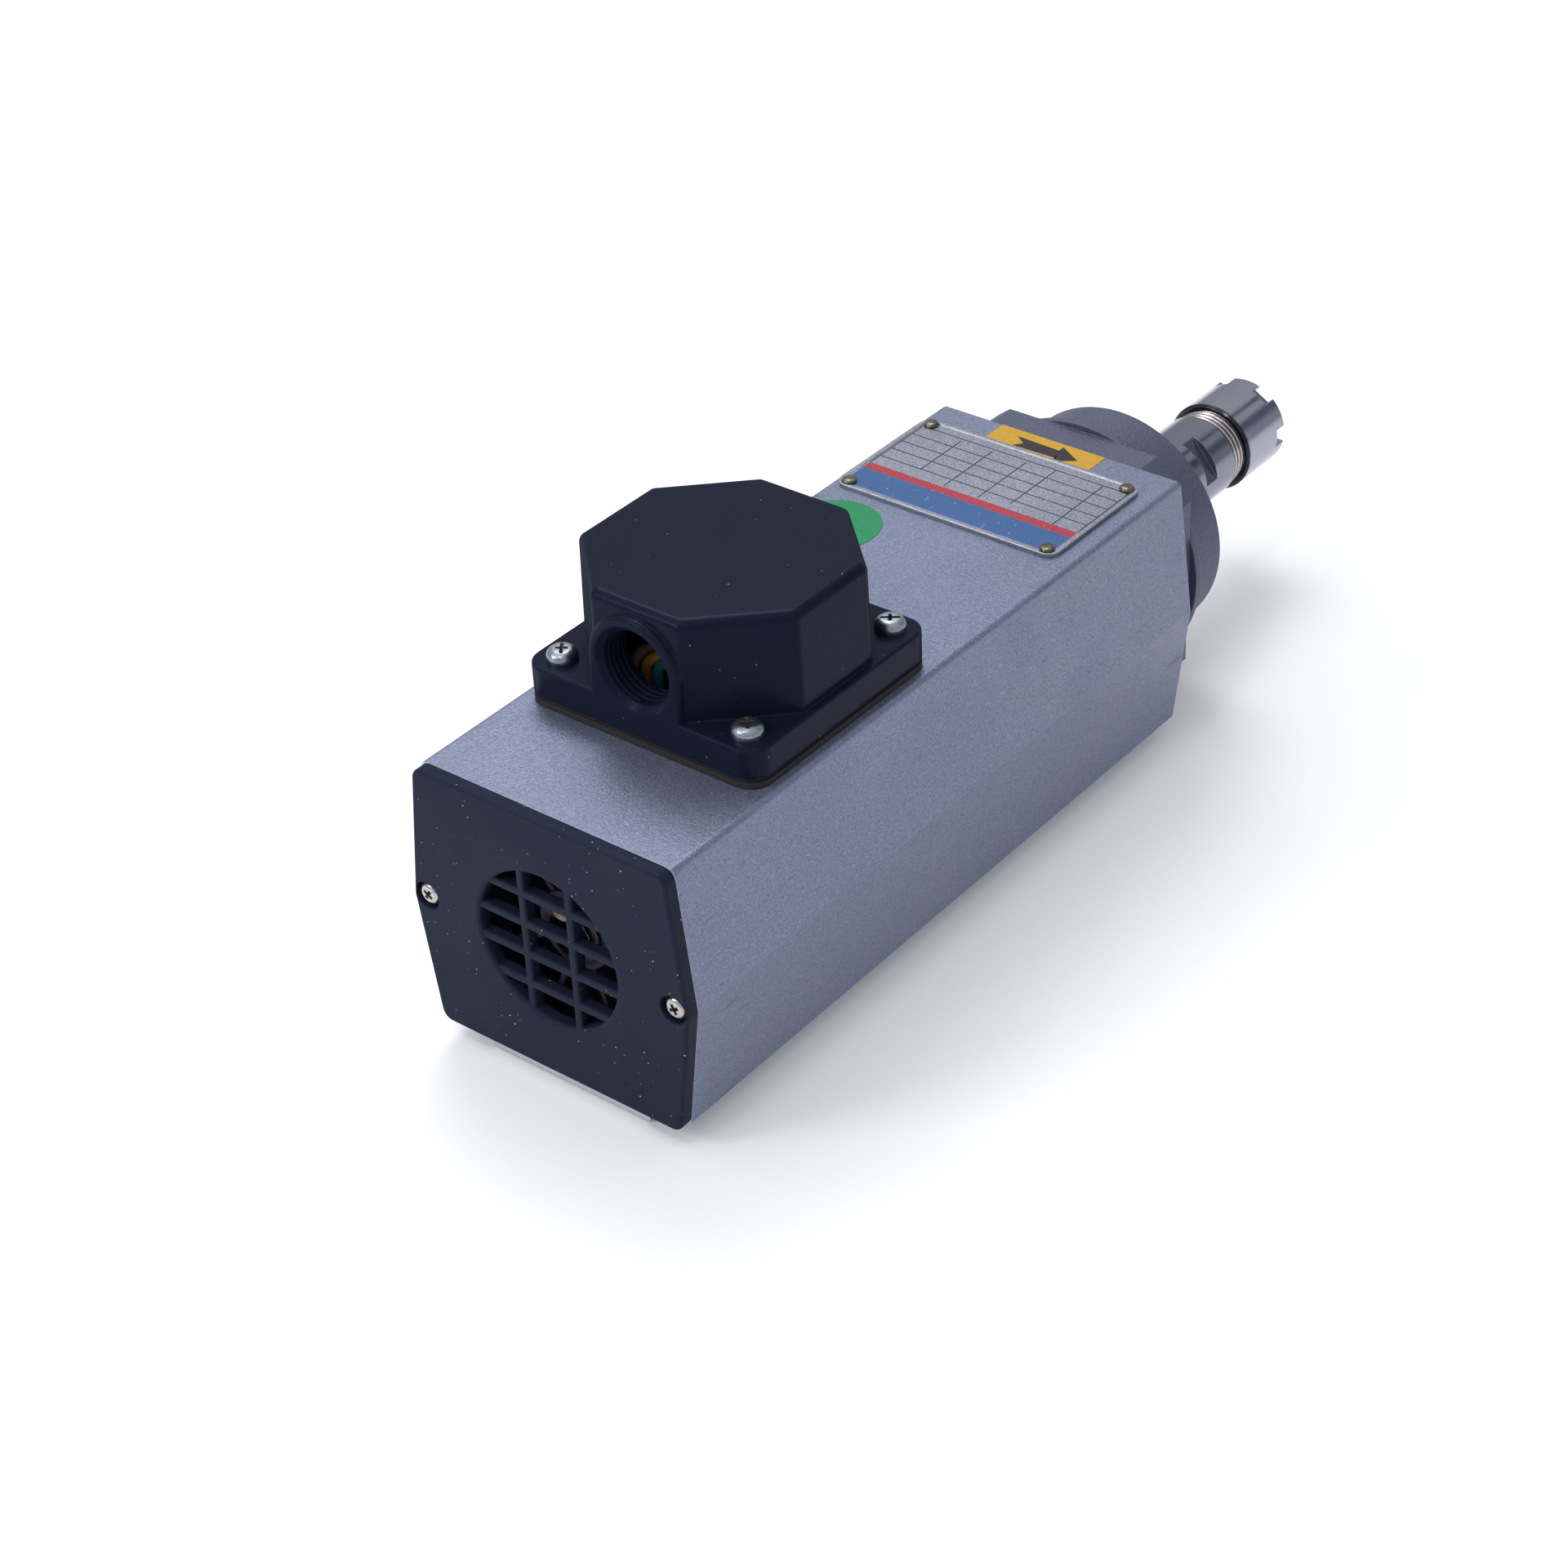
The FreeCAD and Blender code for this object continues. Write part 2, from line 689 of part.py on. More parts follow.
def bearing_sets():
    """The place and sizes of each bearing: bore, outer radius, start, width and its balls."""
    front = [(front_bearing_bore_radius, front_bearing_outer_radius,
              front_bearing_start + i * front_bearing_width, front_bearing_width,
              front_ball_radius, front_ball_count) for i in range(front_bearing_count)]
    return front + [(rear_bearing_bore_radius, rear_bearing_outer_radius, rear_bearing_start,
                     rear_bearing_width, rear_ball_radius, rear_ball_count)]


def ball_centers(bore, outer, start, width, count):
    pitch = raceway_radius(bore, outer)
    angles = [2 * math.pi * i / count for i in range(count)]
    return [FreeCAD.Vector(start + width / 2, pitch * math.cos(a), axis_z + pitch * math.sin(a))
            for a in angles]


def make_balls():
    balls = []
    for bore, outer, start, width, radius, count in bearing_sets():
        balls += [Part.makeSphere(radius, c) for c in ball_centers(bore, outer, start, width, count)]
    return Part.makeCompound(balls)


def make_cages():
    """Machined rings with a round pocket for each ball."""
    cages = []
    for bore, outer, start, width, radius, count in bearing_sets():
        pitch = raceway_radius(bore, outer)
        middle = start + width / 2
        half = radius + cage_margin
        cage = tube_x(pitch + cage_thickness / 2, pitch - cage_thickness / 2, middle - half,
                      middle + half)
        pockets = [Part.makeSphere(radius + cage_gap, c)
                   for c in ball_centers(bore, outer, start, width, count)]
        cages.append(cage.cut(pockets[0].multiFuse(pockets[1:])))
    return Part.makeCompound(cages)


def make_wave_spring():
    """A wavy washer that presses on the rear bearing's outer ring."""
    start = rear_shield_start + rear_shield_wall
    outer = rear_bearing_outer_radius - wave_spring_inset
    inner = outer - wave_spring_band
    half_wave = (wave_spring_height - wave_spring_thickness) / 2
    steps = wave_spring_waves * wave_spring_steps
    rear_faces = []
    for i in range(steps):
        a0 = 2 * math.pi * i / steps
        a1 = 2 * math.pi * (i + 1) / steps
        x0 = start + half_wave * (1 - math.cos(wave_spring_waves * a0))
        x1 = start + half_wave * (1 - math.cos(wave_spring_waves * a1))
        rear_faces.append((a0, a1, x0, x1))
    pieces = []
    for a0, a1, x0, x1 in rear_faces:
        rings = []
        for a, x in ((a0, x0), (a1, x1)):
            corners = [(inner, x), (outer, x), (outer, x + wave_spring_thickness),
                       (inner, x + wave_spring_thickness)]
            points = [FreeCAD.Vector(px, r * math.cos(a), axis_z + r * math.sin(a))
                      for r, px in corners]
            rings.append(Part.makePolygon(points + [points[0]]))
        pieces.append(Part.makeLoft(rings, True, True))
    return pieces[0].multiFuse(pieces[1:]).removeSplitter()


def stator_slot(radius_in, radius_out, width, start, end):
    return box_between(start, end, -width / 2, width / 2, axis_z + radius_in, axis_z + radius_out)


def make_stator_core():
    core = tube_x(body_bore_radius - seat_gap, stator_bore_radius, stator_start_x, stator_end_x)
    slots = []
    for i in range(stator_slots):
        slot = stator_slot(slot_inner_radius, slot_outer_radius, slot_width, stator_start_x,
                           stator_end_x)
        mouth = stator_slot(stator_bore_radius - cut_spare, slot_inner_radius + winding_clearance,
                            slot_mouth_width, stator_start_x, stator_end_x)
        slots.append(around_axis(slot.fuse(mouth), 360 / stator_slots * (i + 0.5)))
    return core.cut(slots[0].multiFuse(slots[1:]))


def make_windings():
    """Two end turns joined by the bundles that lie in the slots."""
    inner = slot_inner_radius + winding_clearance
    outer = slot_outer_radius - winding_clearance
    rear = tube_x(outer, inner, stator_start_x - winding_overhang, stator_start_x - winding_gap)
    front = tube_x(outer, inner, stator_end_x + winding_gap, stator_end_x + winding_overhang)
    bundles = []
    for i in range(stator_slots):
        bundle = stator_slot(inner + bundle_clearance, outer - bundle_clearance,
                             slot_width - 2 * winding_clearance, stator_start_x - 1.5 * winding_gap,
                             stator_end_x + 1.5 * winding_gap)
        bundles.append(around_axis(bundle, 360 / stator_slots * (i + 0.5)))
    return rear.multiFuse([front] + bundles).removeSplitter()


def make_rotor_core():
    radius = stator_bore_radius - air_gap
    return tube_x(radius, rotor_shaft_radius, stator_start_x, stator_end_x)


def make_rotor_cage():
    radius = stator_bore_radius - air_gap - cage_ring_inset
    rear = tube_x(radius, cage_ring_inner_radius, stator_start_x - cage_ring_length, stator_start_x)
    front = tube_x(radius, cage_ring_inner_radius, stator_end_x, stator_end_x + cage_ring_length)
    return Part.makeCompound([rear, front])


def make_shaft():
    thread_start = shaft_end_x - thread_length
    thread_core = thread_radius - thread_depth
    tail_x = rear_x + shaft_tail
    fan_end = tail_x + tail_land + circlip_thickness + fan_length
    core_start = stator_start_x - cage_ring_length - 2
    core_end = stator_end_x + cage_ring_length + 2
    lock_nut_end = front_bearing_end + lock_nut_length
    profile = [(tail_x, 0), (tail_x, fan_seat_radius), (fan_end, fan_seat_radius),
               (fan_end, rear_bearing_bore_radius), (rear_bearing_end, rear_bearing_bore_radius),
               (rear_bearing_end, rear_journal_radius), (core_start, rear_journal_radius),
               (core_start, rotor_shaft_radius), (core_end, rotor_shaft_radius),
               (core_end, journal_radius), (front_bearing_start, journal_radius),
               (front_bearing_start, front_bearing_bore_radius),
               (lock_nut_end, front_bearing_bore_radius), (lock_nut_end, nose_shaft_radius),
               (thread_start, nose_shaft_radius), (thread_start, thread_core),
               (shaft_end_x, thread_core), (shaft_end_x, taper_mouth_radius),
               (shaft_end_x - taper_depth, taper_mouth_radius - taper_slope * taper_depth),
               (shaft_end_x - taper_depth, shaft_bore_radius),
               (shaft_end_x - shaft_bore_depth, shaft_bore_radius),
               (shaft_end_x - shaft_bore_depth, 0)]
    shaft = revolve_x(profile)
    groove = tube_x(fan_seat_radius + cut_spare, fan_seat_radius - circlip_groove_depth,
                    tail_x + tail_land, tail_x + tail_land + circlip_thickness)
    shaft = shaft.cut(groove)
    flat_x = front_x + wrench_flat_start
    for side in (0, 180):
        flat = box_between(flat_x, flat_x + wrench_flat_width, -nose_shaft_radius,
                           nose_shaft_radius, axis_z + wrench_flat_span / 2,
                           axis_z + nose_shaft_radius + cut_spare)
        shaft = shaft.cut(around_axis(flat, wrench_flat_angle - 90 + side))
    return shaft


def make_lock_nut():
    start = front_bearing_end
    nut = tube_x(lock_nut_radius, front_bearing_bore_radius, start, start + lock_nut_length)
    for i in range(lock_nut_slots):
        slot = box_between(start, start + lock_nut_length, -lock_nut_slot_width / 2,
                           lock_nut_slot_width / 2, axis_z + lock_nut_radius - lock_nut_slot_depth,
                           axis_z + lock_nut_radius + cut_spare)
        nut = nut.cut(around_axis(slot, 360 / lock_nut_slots * i))
    return nut


def make_fan():
    start = rear_x + shaft_tail + tail_land + circlip_thickness
    end = start + fan_length
    hub = cylinder_x(fan_hub_radius, start, end)
    disc = cylinder_x(fan_radius, end - fan_disc_thickness, end)
    blades = []
    for i in range(fan_blades):
        blade = box_between(start + fan_blade_step, end - fan_disc_thickness / 2,
                            -fan_blade_thickness / 2, fan_blade_thickness / 2,
                            axis_z + fan_hub_radius - cut_spare, axis_z + fan_radius - fan_blade_inset)
        blades.append(around_axis(blade, 360 / fan_blades * i))
    fan = hub.multiFuse([disc] + blades)
    return fan.cut(cylinder_x(fan_seat_radius, start, end)).removeSplitter()


def make_circlip():
    start = rear_x + shaft_tail + tail_land
    inner = fan_seat_radius - circlip_groove_depth
    ring = tube_x(inner + circlip_width, inner, start, start + circlip_thickness)
    return ring.cut(box_between(start, start + circlip_thickness, -circlip_opening / 2,
                                circlip_opening / 2, axis_z - inner - circlip_width - cut_spare, axis_z))


def collet_taper_radius(x):
    return taper_mouth_radius - taper_slope * (shaft_end_x - x) - seat_gap


def make_collet():
    """A spring collet: taper, extraction groove, head cone and slits from both ends."""
    profile = [(collet_rear_x, collet_bore_radius),
               (collet_rear_x, collet_taper_radius(collet_rear_x)),
               (groove_rear_x, collet_taper_radius(groove_rear_x)),
               (groove_rear_x, collet_groove_radius), (head_rear_x, collet_groove_radius),
               (head_rear_x, collet_head_radius),
               (head_rear_x + collet_head_land, collet_head_radius),
               (collet_front_x, collet_face_radius), (collet_front_x, collet_bore_radius)]
    collet = revolve_x(profile)
    half = collet_slit_width / 2
    reach = axis_z + collet_head_radius + cut_spare
    step = 360 / collet_slits
    for i in range(collet_slits):
        front_slit = box_between(collet_rear_x + collet_rear_spare, collet_front_x, -half, half,
                                 axis_z, reach)
        rear_slit = box_between(collet_rear_x, collet_front_x - collet_front_spare, -half, half,
                                axis_z, reach)
        collet = collet.cut(around_axis(front_slit, step * i))
        collet = collet.cut(around_axis(rear_slit, step * (i + 0.5)))
    return collet


def make_collet_nut():
    """A round nut with slots in its front rim and a ring inside that draws the collet."""
    thread_bore = thread_radius + running_gap
    ring_rear = groove_rear_x + nut_ring_gap
    ring_front = head_rear_x - nut_ring_gap
    ring_radius = collet_groove_radius + nut_ring_gap
    cavity = collet_head_radius + nut_ring_gap
    cone_start = head_rear_x + collet_head_land
    cone_end = cone_start + (cavity - nut_mouth_radius) / cone_slope
    profile = [(nut_rear_x, thread_bore), (ring_rear - nut_thread_runout, thread_bore),
               (ring_rear, cavity),
               (ring_rear, ring_radius), (ring_front, ring_radius), (ring_front, cavity),
               (cone_start, cavity), (cone_end, nut_mouth_radius),
               (nut_front_x - nut_mouth_chamfer, nut_mouth_radius),
               (nut_front_x, nut_mouth_radius + nut_mouth_chamfer),
               (nut_front_x, nut_radius - nut_edge_chamfer),
               (nut_front_x - nut_edge_chamfer, nut_radius),
               (nut_rear_x + nut_edge_chamfer, nut_radius),
               (nut_rear_x, nut_radius - nut_edge_chamfer)]
    nut = revolve_x(profile)
    for i in range(nut_slots):
        slot = box_between(nut_front_x - nut_slot_length, nut_front_x + cut_spare, -nut_slot_width / 2,
                           nut_slot_width / 2, axis_z + nut_radius - nut_slot_depth,
                           axis_z + nut_radius + cut_spare)
        nut = nut.cut(around_axis(slot, nut_slot_angle - 90 + 360 / nut_slots * i))
    return nut


def octagon(length, width, z):
    """The dome's outline at one height: a rectangle with its corners cut off."""
    x = length / 2
    y = width / 2
    cut_x = x - dome_side_length / 2
    cut_y = y - dome_side_width / 2
    corners = [(x, y - cut_y), (x - cut_x, y), (cut_x - x, y), (-x, y - cut_y), (-x, cut_y - y),
               (cut_x - x, -y), (x - cut_x, -y), (x, cut_y - y)]
    points = [FreeCAD.Vector(box_center_x + px, py, z) for px, py in corners]
    return Part.makePolygon(points + [points[0]])


def entry_boss(start, end, radius, low_z):
    """The arched block around the cable entry, with a rounded front edge."""
    arch = cylinder_x(radius, start, end, 0, entry_z)
    boss = arch.fuse(box_between(start, end, -radius, radius, low_z, entry_z)).removeSplitter()
    rim = [e for e in boss.Edges if e.BoundBox.XMax < start + 0.01 and e.BoundBox.ZMax > low_z + 0.01]
    return boss.makeFillet(entry_boss_edge_radius, rim)


def make_terminal_cover():
    seat_z = body_top_z + gasket_thickness
    flange = rounded_plate(box_length, box_width, box_corner_radius, box_center_x, 0, seat_z,
                           box_flange_thickness)
    flange = flange.makeFillet(flange_edge_radius,
                               [e for e in flange.Edges if e.BoundBox.ZMin > flange_top_z - 0.01])
    dome = Part.makeLoft([octagon(dome_base_length, dome_base_width, seat_z),
                          octagon(dome_top_length, dome_top_width, box_top_z)], True, True)
    dome = dome.makeFillet(dome_edge_radius,
                           [e for e in dome.Edges if e.BoundBox.ZMax > box_top_z - 0.01])
    hollow = Part.makeLoft([octagon(dome_base_length - 2 * box_wall, dome_base_width - 2 * box_wall,
                                    seat_z),
                            octagon(dome_top_length - 2 * box_wall, dome_top_width - 2 * box_wall,
                                    box_top_z - box_wall)], True, True)
    boss_end = box_face_x + entry_depth
    boss = entry_boss(box_face_x, boss_end, entry_boss_radius, seat_z)
    arch_top = entry_z + entry_boss_radius
    outer_boss = boss.common(box_between(box_face_x, boss_end, -entry_boss_radius,
                                         entry_boss_radius, seat_z, min(arch_top, box_top_z)))
    cover = flange.fuse(dome).fuse(outer_boss)
    cover = cover.cut(hollow.cut(outer_boss))
    entry = cylinder_x(entry_radius, box_face_x, boss_end, 0, entry_z)
    lead_in = Part.makeCone(entry_radius + entry_chamfer, entry_radius, entry_chamfer,
                            FreeCAD.Vector(box_face_x, 0, entry_z), along_x)
    cover = cover.cut(entry.fuse(lead_in))
    for x, y in box_screw_places():
        cover = cover.cut(Part.makeCylinder(box_screw_radius + screw_gap,
                                            box_flange_thickness + 2 * cut_spare,
                                            FreeCAD.Vector(x, y, seat_z - cut_spare)))
    return cover.removeSplitter()


def make_gasket():
    """A moulded gasket: a foot with the flange's outline and a narrower lip above it."""
    foot = rounded_plate(box_length, box_width, box_corner_radius, box_center_x, 0, body_top_z,
                         gasket_foot)
    lip = rounded_plate(box_length - 2 * gasket_inset, box_width - 2 * gasket_inset,
                        box_corner_radius - gasket_inset, box_center_x, 0, body_top_z,
                        gasket_thickness)
    window = Part.Face(octagon(dome_base_length - 2 * box_wall, dome_base_width - 2 * box_wall,
                               body_top_z)).extrude(FreeCAD.Vector(0, 0, gasket_thickness))
    gasket = foot.fuse(lip).cut(window)
    for x, y in box_screw_places():
        gasket = gasket.cut(Part.makeCylinder(box_screw_radius + screw_gap, gasket_thickness,
                                              FreeCAD.Vector(x, y, body_top_z)))
    return gasket.removeSplitter()


def make_box_screws():
    screw = pan_screw(box_screw_head_radius, box_screw_head_height, box_screw_radius, box_screw_length)
    return Part.makeCompound([point_down(screw, FreeCAD.Vector(0, 0, -1),
                                         FreeCAD.Vector(x, y, flange_top_z))
                              for x, y in box_screw_places()])


def terminal_places():
    block_x = box_center_x + terminal_block_offset
    return [(block_x + (i - (terminal_rows - 1) / 2) * terminal_pitch_x,
             (j - (terminal_columns - 1) / 2) * terminal_pitch_y)
            for i in range(terminal_rows) for j in range(terminal_columns)]


def make_terminal_block():
    """An insulating block with low barriers between its studs."""
    block_x = box_center_x + terminal_block_offset
    half = terminal_block_length / 2
    base = box_between(block_x - half, block_x + half, -terminal_block_width / 2,
                       terminal_block_width / 2, body_top_z,
                       body_top_z + terminal_block_height - terminal_barrier)
    for i in range(terminal_columns + 1):
        y = (i - terminal_columns / 2) * terminal_pitch_y
        base = base.fuse(box_between(block_x - half, block_x + half, y - barrier_width / 2,
                                     y + barrier_width / 2, body_top_z + stud_root,
                                     body_top_z + terminal_block_height))
    for x, y in terminal_places():
        base = base.cut(Part.makeCylinder(stud_radius, terminal_block_height,
                                          FreeCAD.Vector(x, y, body_top_z + stud_root)))
    return base.removeSplitter()


def make_terminal_studs():
    """Six threaded studs, each with its hexagon nut."""
    seat_z = body_top_z + terminal_block_height - terminal_barrier
    studs = []
    for x, y in terminal_places():
        stud = Part.makeCylinder(stud_radius, stud_height + terminal_block_height - stud_root,
                                 FreeCAD.Vector(x, y, body_top_z + stud_root))
        corners = [FreeCAD.Vector(x + stud_nut_radius * math.cos(math.radians(60 * k)),
                                  y + stud_nut_radius * math.sin(math.radians(60 * k)), seat_z)
                   for k in range(6)]
        nut = Part.Face(Part.makePolygon(corners + [corners[0]]))
        studs.append(stud.fuse(nut.extrude(FreeCAD.Vector(0, 0, stud_nut_height))))
    return Part.makeCompound(studs)


def bent_tube(points, radius, bend):
    """A round bar along straight runs, with a tangent arc of one radius at each corner."""
    edges = []
    start = points[0]
    for before, corner, after in zip(points, points[1:], points[2:]):
        back = before.sub(corner).normalize()
        ahead = after.sub(corner).normalize()
        half = back.getAngle(ahead) / 2
        reach = bend / math.tan(half)
        inwards = back.add(ahead).normalize()
        first = corner.add(back * reach)
        middle = corner.add(inwards * (bend / math.sin(half) - bend))
        last = corner.add(ahead * reach)
        edges.append(Part.makeLine(start, first))
        edges.append(Part.Arc(first, middle, last).toShape())
        start = last
    edges.append(Part.makeLine(start, points[-1]))
    ring = Part.Wire(Part.makeCircle(radius, points[0], points[1].sub(points[0])))
    return Part.Wire(edges).makePipeShell([ring], True, True)


def make_leads():
    """Three motor leads that rise from the winding through the body's wall to the studs."""
    top_z = body_top_z + terminal_block_height - terminal_barrier + stud_nut_height + lead_radius
    end_turn = cylinder_x(slot_outer_radius - winding_clearance, rear_x, stator_start_x)
    leads = []
    for j in range(terminal_columns):
        y = lead_exit_offset + (j - (terminal_columns - 1) / 2) * lead_pitch
        stud_x, stud_y = terminal_places()[j]
        lead = bent_tube([FreeCAD.Vector(lead_exit_x, y, axis_z), FreeCAD.Vector(lead_exit_x, y, top_z),
                          FreeCAD.Vector(stud_x - lead_straight, stud_y, top_z),
                          FreeCAD.Vector(stud_x, stud_y, top_z)], lead_radius, lead_bend_radius)
        stud = Part.makeCylinder(stud_radius, 4 * lead_radius,
                                 FreeCAD.Vector(stud_x, stud_y, top_z - 2 * lead_radius))
        leads.append(lead.cut(end_turn).cut(stud))
    return leads


def make_nameplate():
    plate = rounded_plate(plate_length, plate_width, plate_corner_radius, plate_center_x,
                          plate_offset, body_top_z, plate_thickness)
    rim = rounded_plate(plate_length, plate_width, plate_corner_radius, plate_center_x,
                        plate_offset, body_top_z + plate_thickness, plate_rim_height)
    field = rounded_plate(plate_length - 2 * plate_rim_width, plate_width - 2 * plate_rim_width,
                          plate_corner_radius - plate_rim_width, plate_center_x, plate_offset,
                          body_top_z + plate_thickness, plate_rim_height)
    plate = plate.fuse(rim.cut(field)).removeSplitter()
    for x, y in rivet_places():
        plate = plate.cut(Part.makeCylinder(rivet_radius / 2, plate_thickness,
                                            FreeCAD.Vector(x, y, body_top_z)))
        plate = plate.cut(Part.makeCylinder(rivet_radius + screw_gap, plate_rim_height,
                                            FreeCAD.Vector(x, y, body_top_z + plate_thickness)))
    return plate


def make_rivets():
    rivets = []
    for x, y in rivet_places():
        rivet = pan_screw(rivet_radius, rivet_height, rivet_radius / 2, rivet_length)
        place = FreeCAD.Vector(x, y, body_top_z + plate_thickness)
        rivets.append(point_down(rivet, FreeCAD.Vector(0, 0, -1), place))
    return Part.makeCompound(rivets)


def build():
    os.makedirs("parts", exist_ok=True)
    save("body_extrusion", make_body())
    save("rear_cover", make_rear_cover())
    save("rear_cover_screws", make_cover_screws())
    save("rear_shield", make_rear_shield())
    save("front_shield", make_front_shield())
    save("front_bearing_cover", make_front_cover())
    save("front_cover_screws", make_front_cover_screws())
    save("tie_bolts", make_tie_bolts())
    for i in range(front_bearing_count):
        start = front_bearing_start + i * front_bearing_width
        outer_ring, inner_ring = bearing_rings(front_bearing_bore_radius, front_bearing_outer_radius,
                                               start, front_bearing_width, front_ball_radius)
        save("front_bearing_outer_ring_" + str(i + 1), outer_ring)
        save("front_bearing_inner_ring_" + str(i + 1), inner_ring)
    outer_ring, inner_ring = bearing_rings(rear_bearing_bore_radius, rear_bearing_outer_radius,
                                           rear_bearing_start, rear_bearing_width, rear_ball_radius)
    save("rear_bearing_outer_ring", outer_ring)
    save("rear_bearing_inner_ring", inner_ring)
    save("bearing_balls", make_balls())
    save("bearing_cages", make_cages())
    save("wave_spring", make_wave_spring())
    save("stator_core", make_stator_core())
    save("stator_windings", make_windings())
    save("rotor_core", make_rotor_core())
    save("rotor_cage_rings", make_rotor_cage())
    save("spindle_shaft", make_shaft())
    save("bearing_lock_nut", make_lock_nut())
    save("cooling_fan", make_fan())
    save("fan_circlip", make_circlip())
    save("collet", make_collet())
    save("collet_nut", make_collet_nut())
    save("terminal_box_cover", make_terminal_cover())
    save("terminal_gasket", make_gasket())
    save("terminal_box_screws", make_box_screws())
    save("terminal_block", make_terminal_block())
    save("terminal_studs", make_terminal_studs())
    for name, lead in zip(("motor_lead_u", "motor_lead_v", "motor_lead_w"), make_leads()):
        save(name, lead)
    save("nameplate", make_nameplate())
    save("nameplate_rivets", make_rivets())


build()
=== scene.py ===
import math

import bpy
from mathutils import Matrix, Vector


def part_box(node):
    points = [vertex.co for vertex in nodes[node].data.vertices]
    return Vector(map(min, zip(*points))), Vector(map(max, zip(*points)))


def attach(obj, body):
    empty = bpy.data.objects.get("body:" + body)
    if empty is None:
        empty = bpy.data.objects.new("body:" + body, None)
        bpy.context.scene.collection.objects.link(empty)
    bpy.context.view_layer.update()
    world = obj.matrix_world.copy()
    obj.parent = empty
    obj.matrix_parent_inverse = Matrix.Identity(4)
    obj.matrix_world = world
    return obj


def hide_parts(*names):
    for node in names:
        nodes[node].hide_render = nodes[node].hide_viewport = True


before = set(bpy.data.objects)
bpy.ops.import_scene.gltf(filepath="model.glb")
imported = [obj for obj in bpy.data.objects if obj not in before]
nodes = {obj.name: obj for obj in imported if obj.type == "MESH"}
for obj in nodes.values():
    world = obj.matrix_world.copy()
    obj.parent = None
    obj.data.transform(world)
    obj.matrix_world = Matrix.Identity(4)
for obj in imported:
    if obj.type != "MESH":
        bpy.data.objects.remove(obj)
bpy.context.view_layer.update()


# Body casing
# One length of extruded aluminium with six sides, air ducts in its corners and a foot rail below.
# It is bead blasted and clear anodised, so it has a fine bluish grain and a few light scuffs.
def add_node(tree, kind, **settings):
    made = tree.nodes.new(kind)
    for name, value in settings.items():
        setattr(made, name, value)
    return made


def feed(tree, made, socket, source):
    """Links a socket to another node's output, or sets it to a plain value."""
    if isinstance(source, bpy.types.NodeSocket):
        tree.links.new(source, made.inputs[socket])
    else:
        made.inputs[socket].default_value = source


def new_group(name, inputs, outputs):
    """An empty shader node group: its tree, its input node and its output node."""
    tree = bpy.data.node_groups.new(name, "ShaderNodeTree")
    for label, value in inputs:
        socket = tree.interface.new_socket(label, in_out="INPUT", socket_type="NodeSocketFloat")
        socket.default_value = value
    for label, kind in outputs:
        tree.interface.new_socket(label, in_out="OUTPUT", socket_type=kind)
    return tree, tree.nodes.new("NodeGroupInput"), tree.nodes.new("NodeGroupOutput")


def make_grain_group():
    """Fine speckle, as blasting, casting and moulding leave it, and a broad cloudy variation."""
    tree, given, result = new_group("surface_grain", [("Scale", 1500.0), ("Contrast", 1.6)],
                                    [("Grain", "NodeSocketFloat"), ("Cloud", "NodeSocketFloat")])
    place = add_node(tree, "ShaderNodeTexCoord")
    fine = add_node(tree, "ShaderNodeTexNoise")
    feed(tree, fine, "Vector", place.outputs["Object"])
    feed(tree, fine, "Scale", given.outputs["Scale"])
    feed(tree, fine, "Detail", 1.0)
    feed(tree, fine, "Roughness", 0.5)
    centred = add_node(tree, "ShaderNodeMath", operation="SUBTRACT")
    feed(tree, centred, 0, fine.outputs["Fac"])
    feed(tree, centred, 1, 0.5)
    stretched = add_node(tree, "ShaderNodeMath", operation="MULTIPLY_ADD", use_clamp=True)
    feed(tree, stretched, 0, centred.outputs[0])
    feed(tree, stretched, 1, given.outputs["Contrast"])
    feed(tree, stretched, 2, 0.5)
    cloud = add_node(tree, "ShaderNodeTexNoise")
    feed(tree, cloud, "Vector", place.outputs["Object"])
    feed(tree, cloud, "Scale", cloud_scale)
    feed(tree, cloud, "Detail", cloud_detail)
    feed(tree, result, "Grain", stretched.outputs[0])
    feed(tree, result, "Cloud", cloud.outputs["Fac"])
    return tree


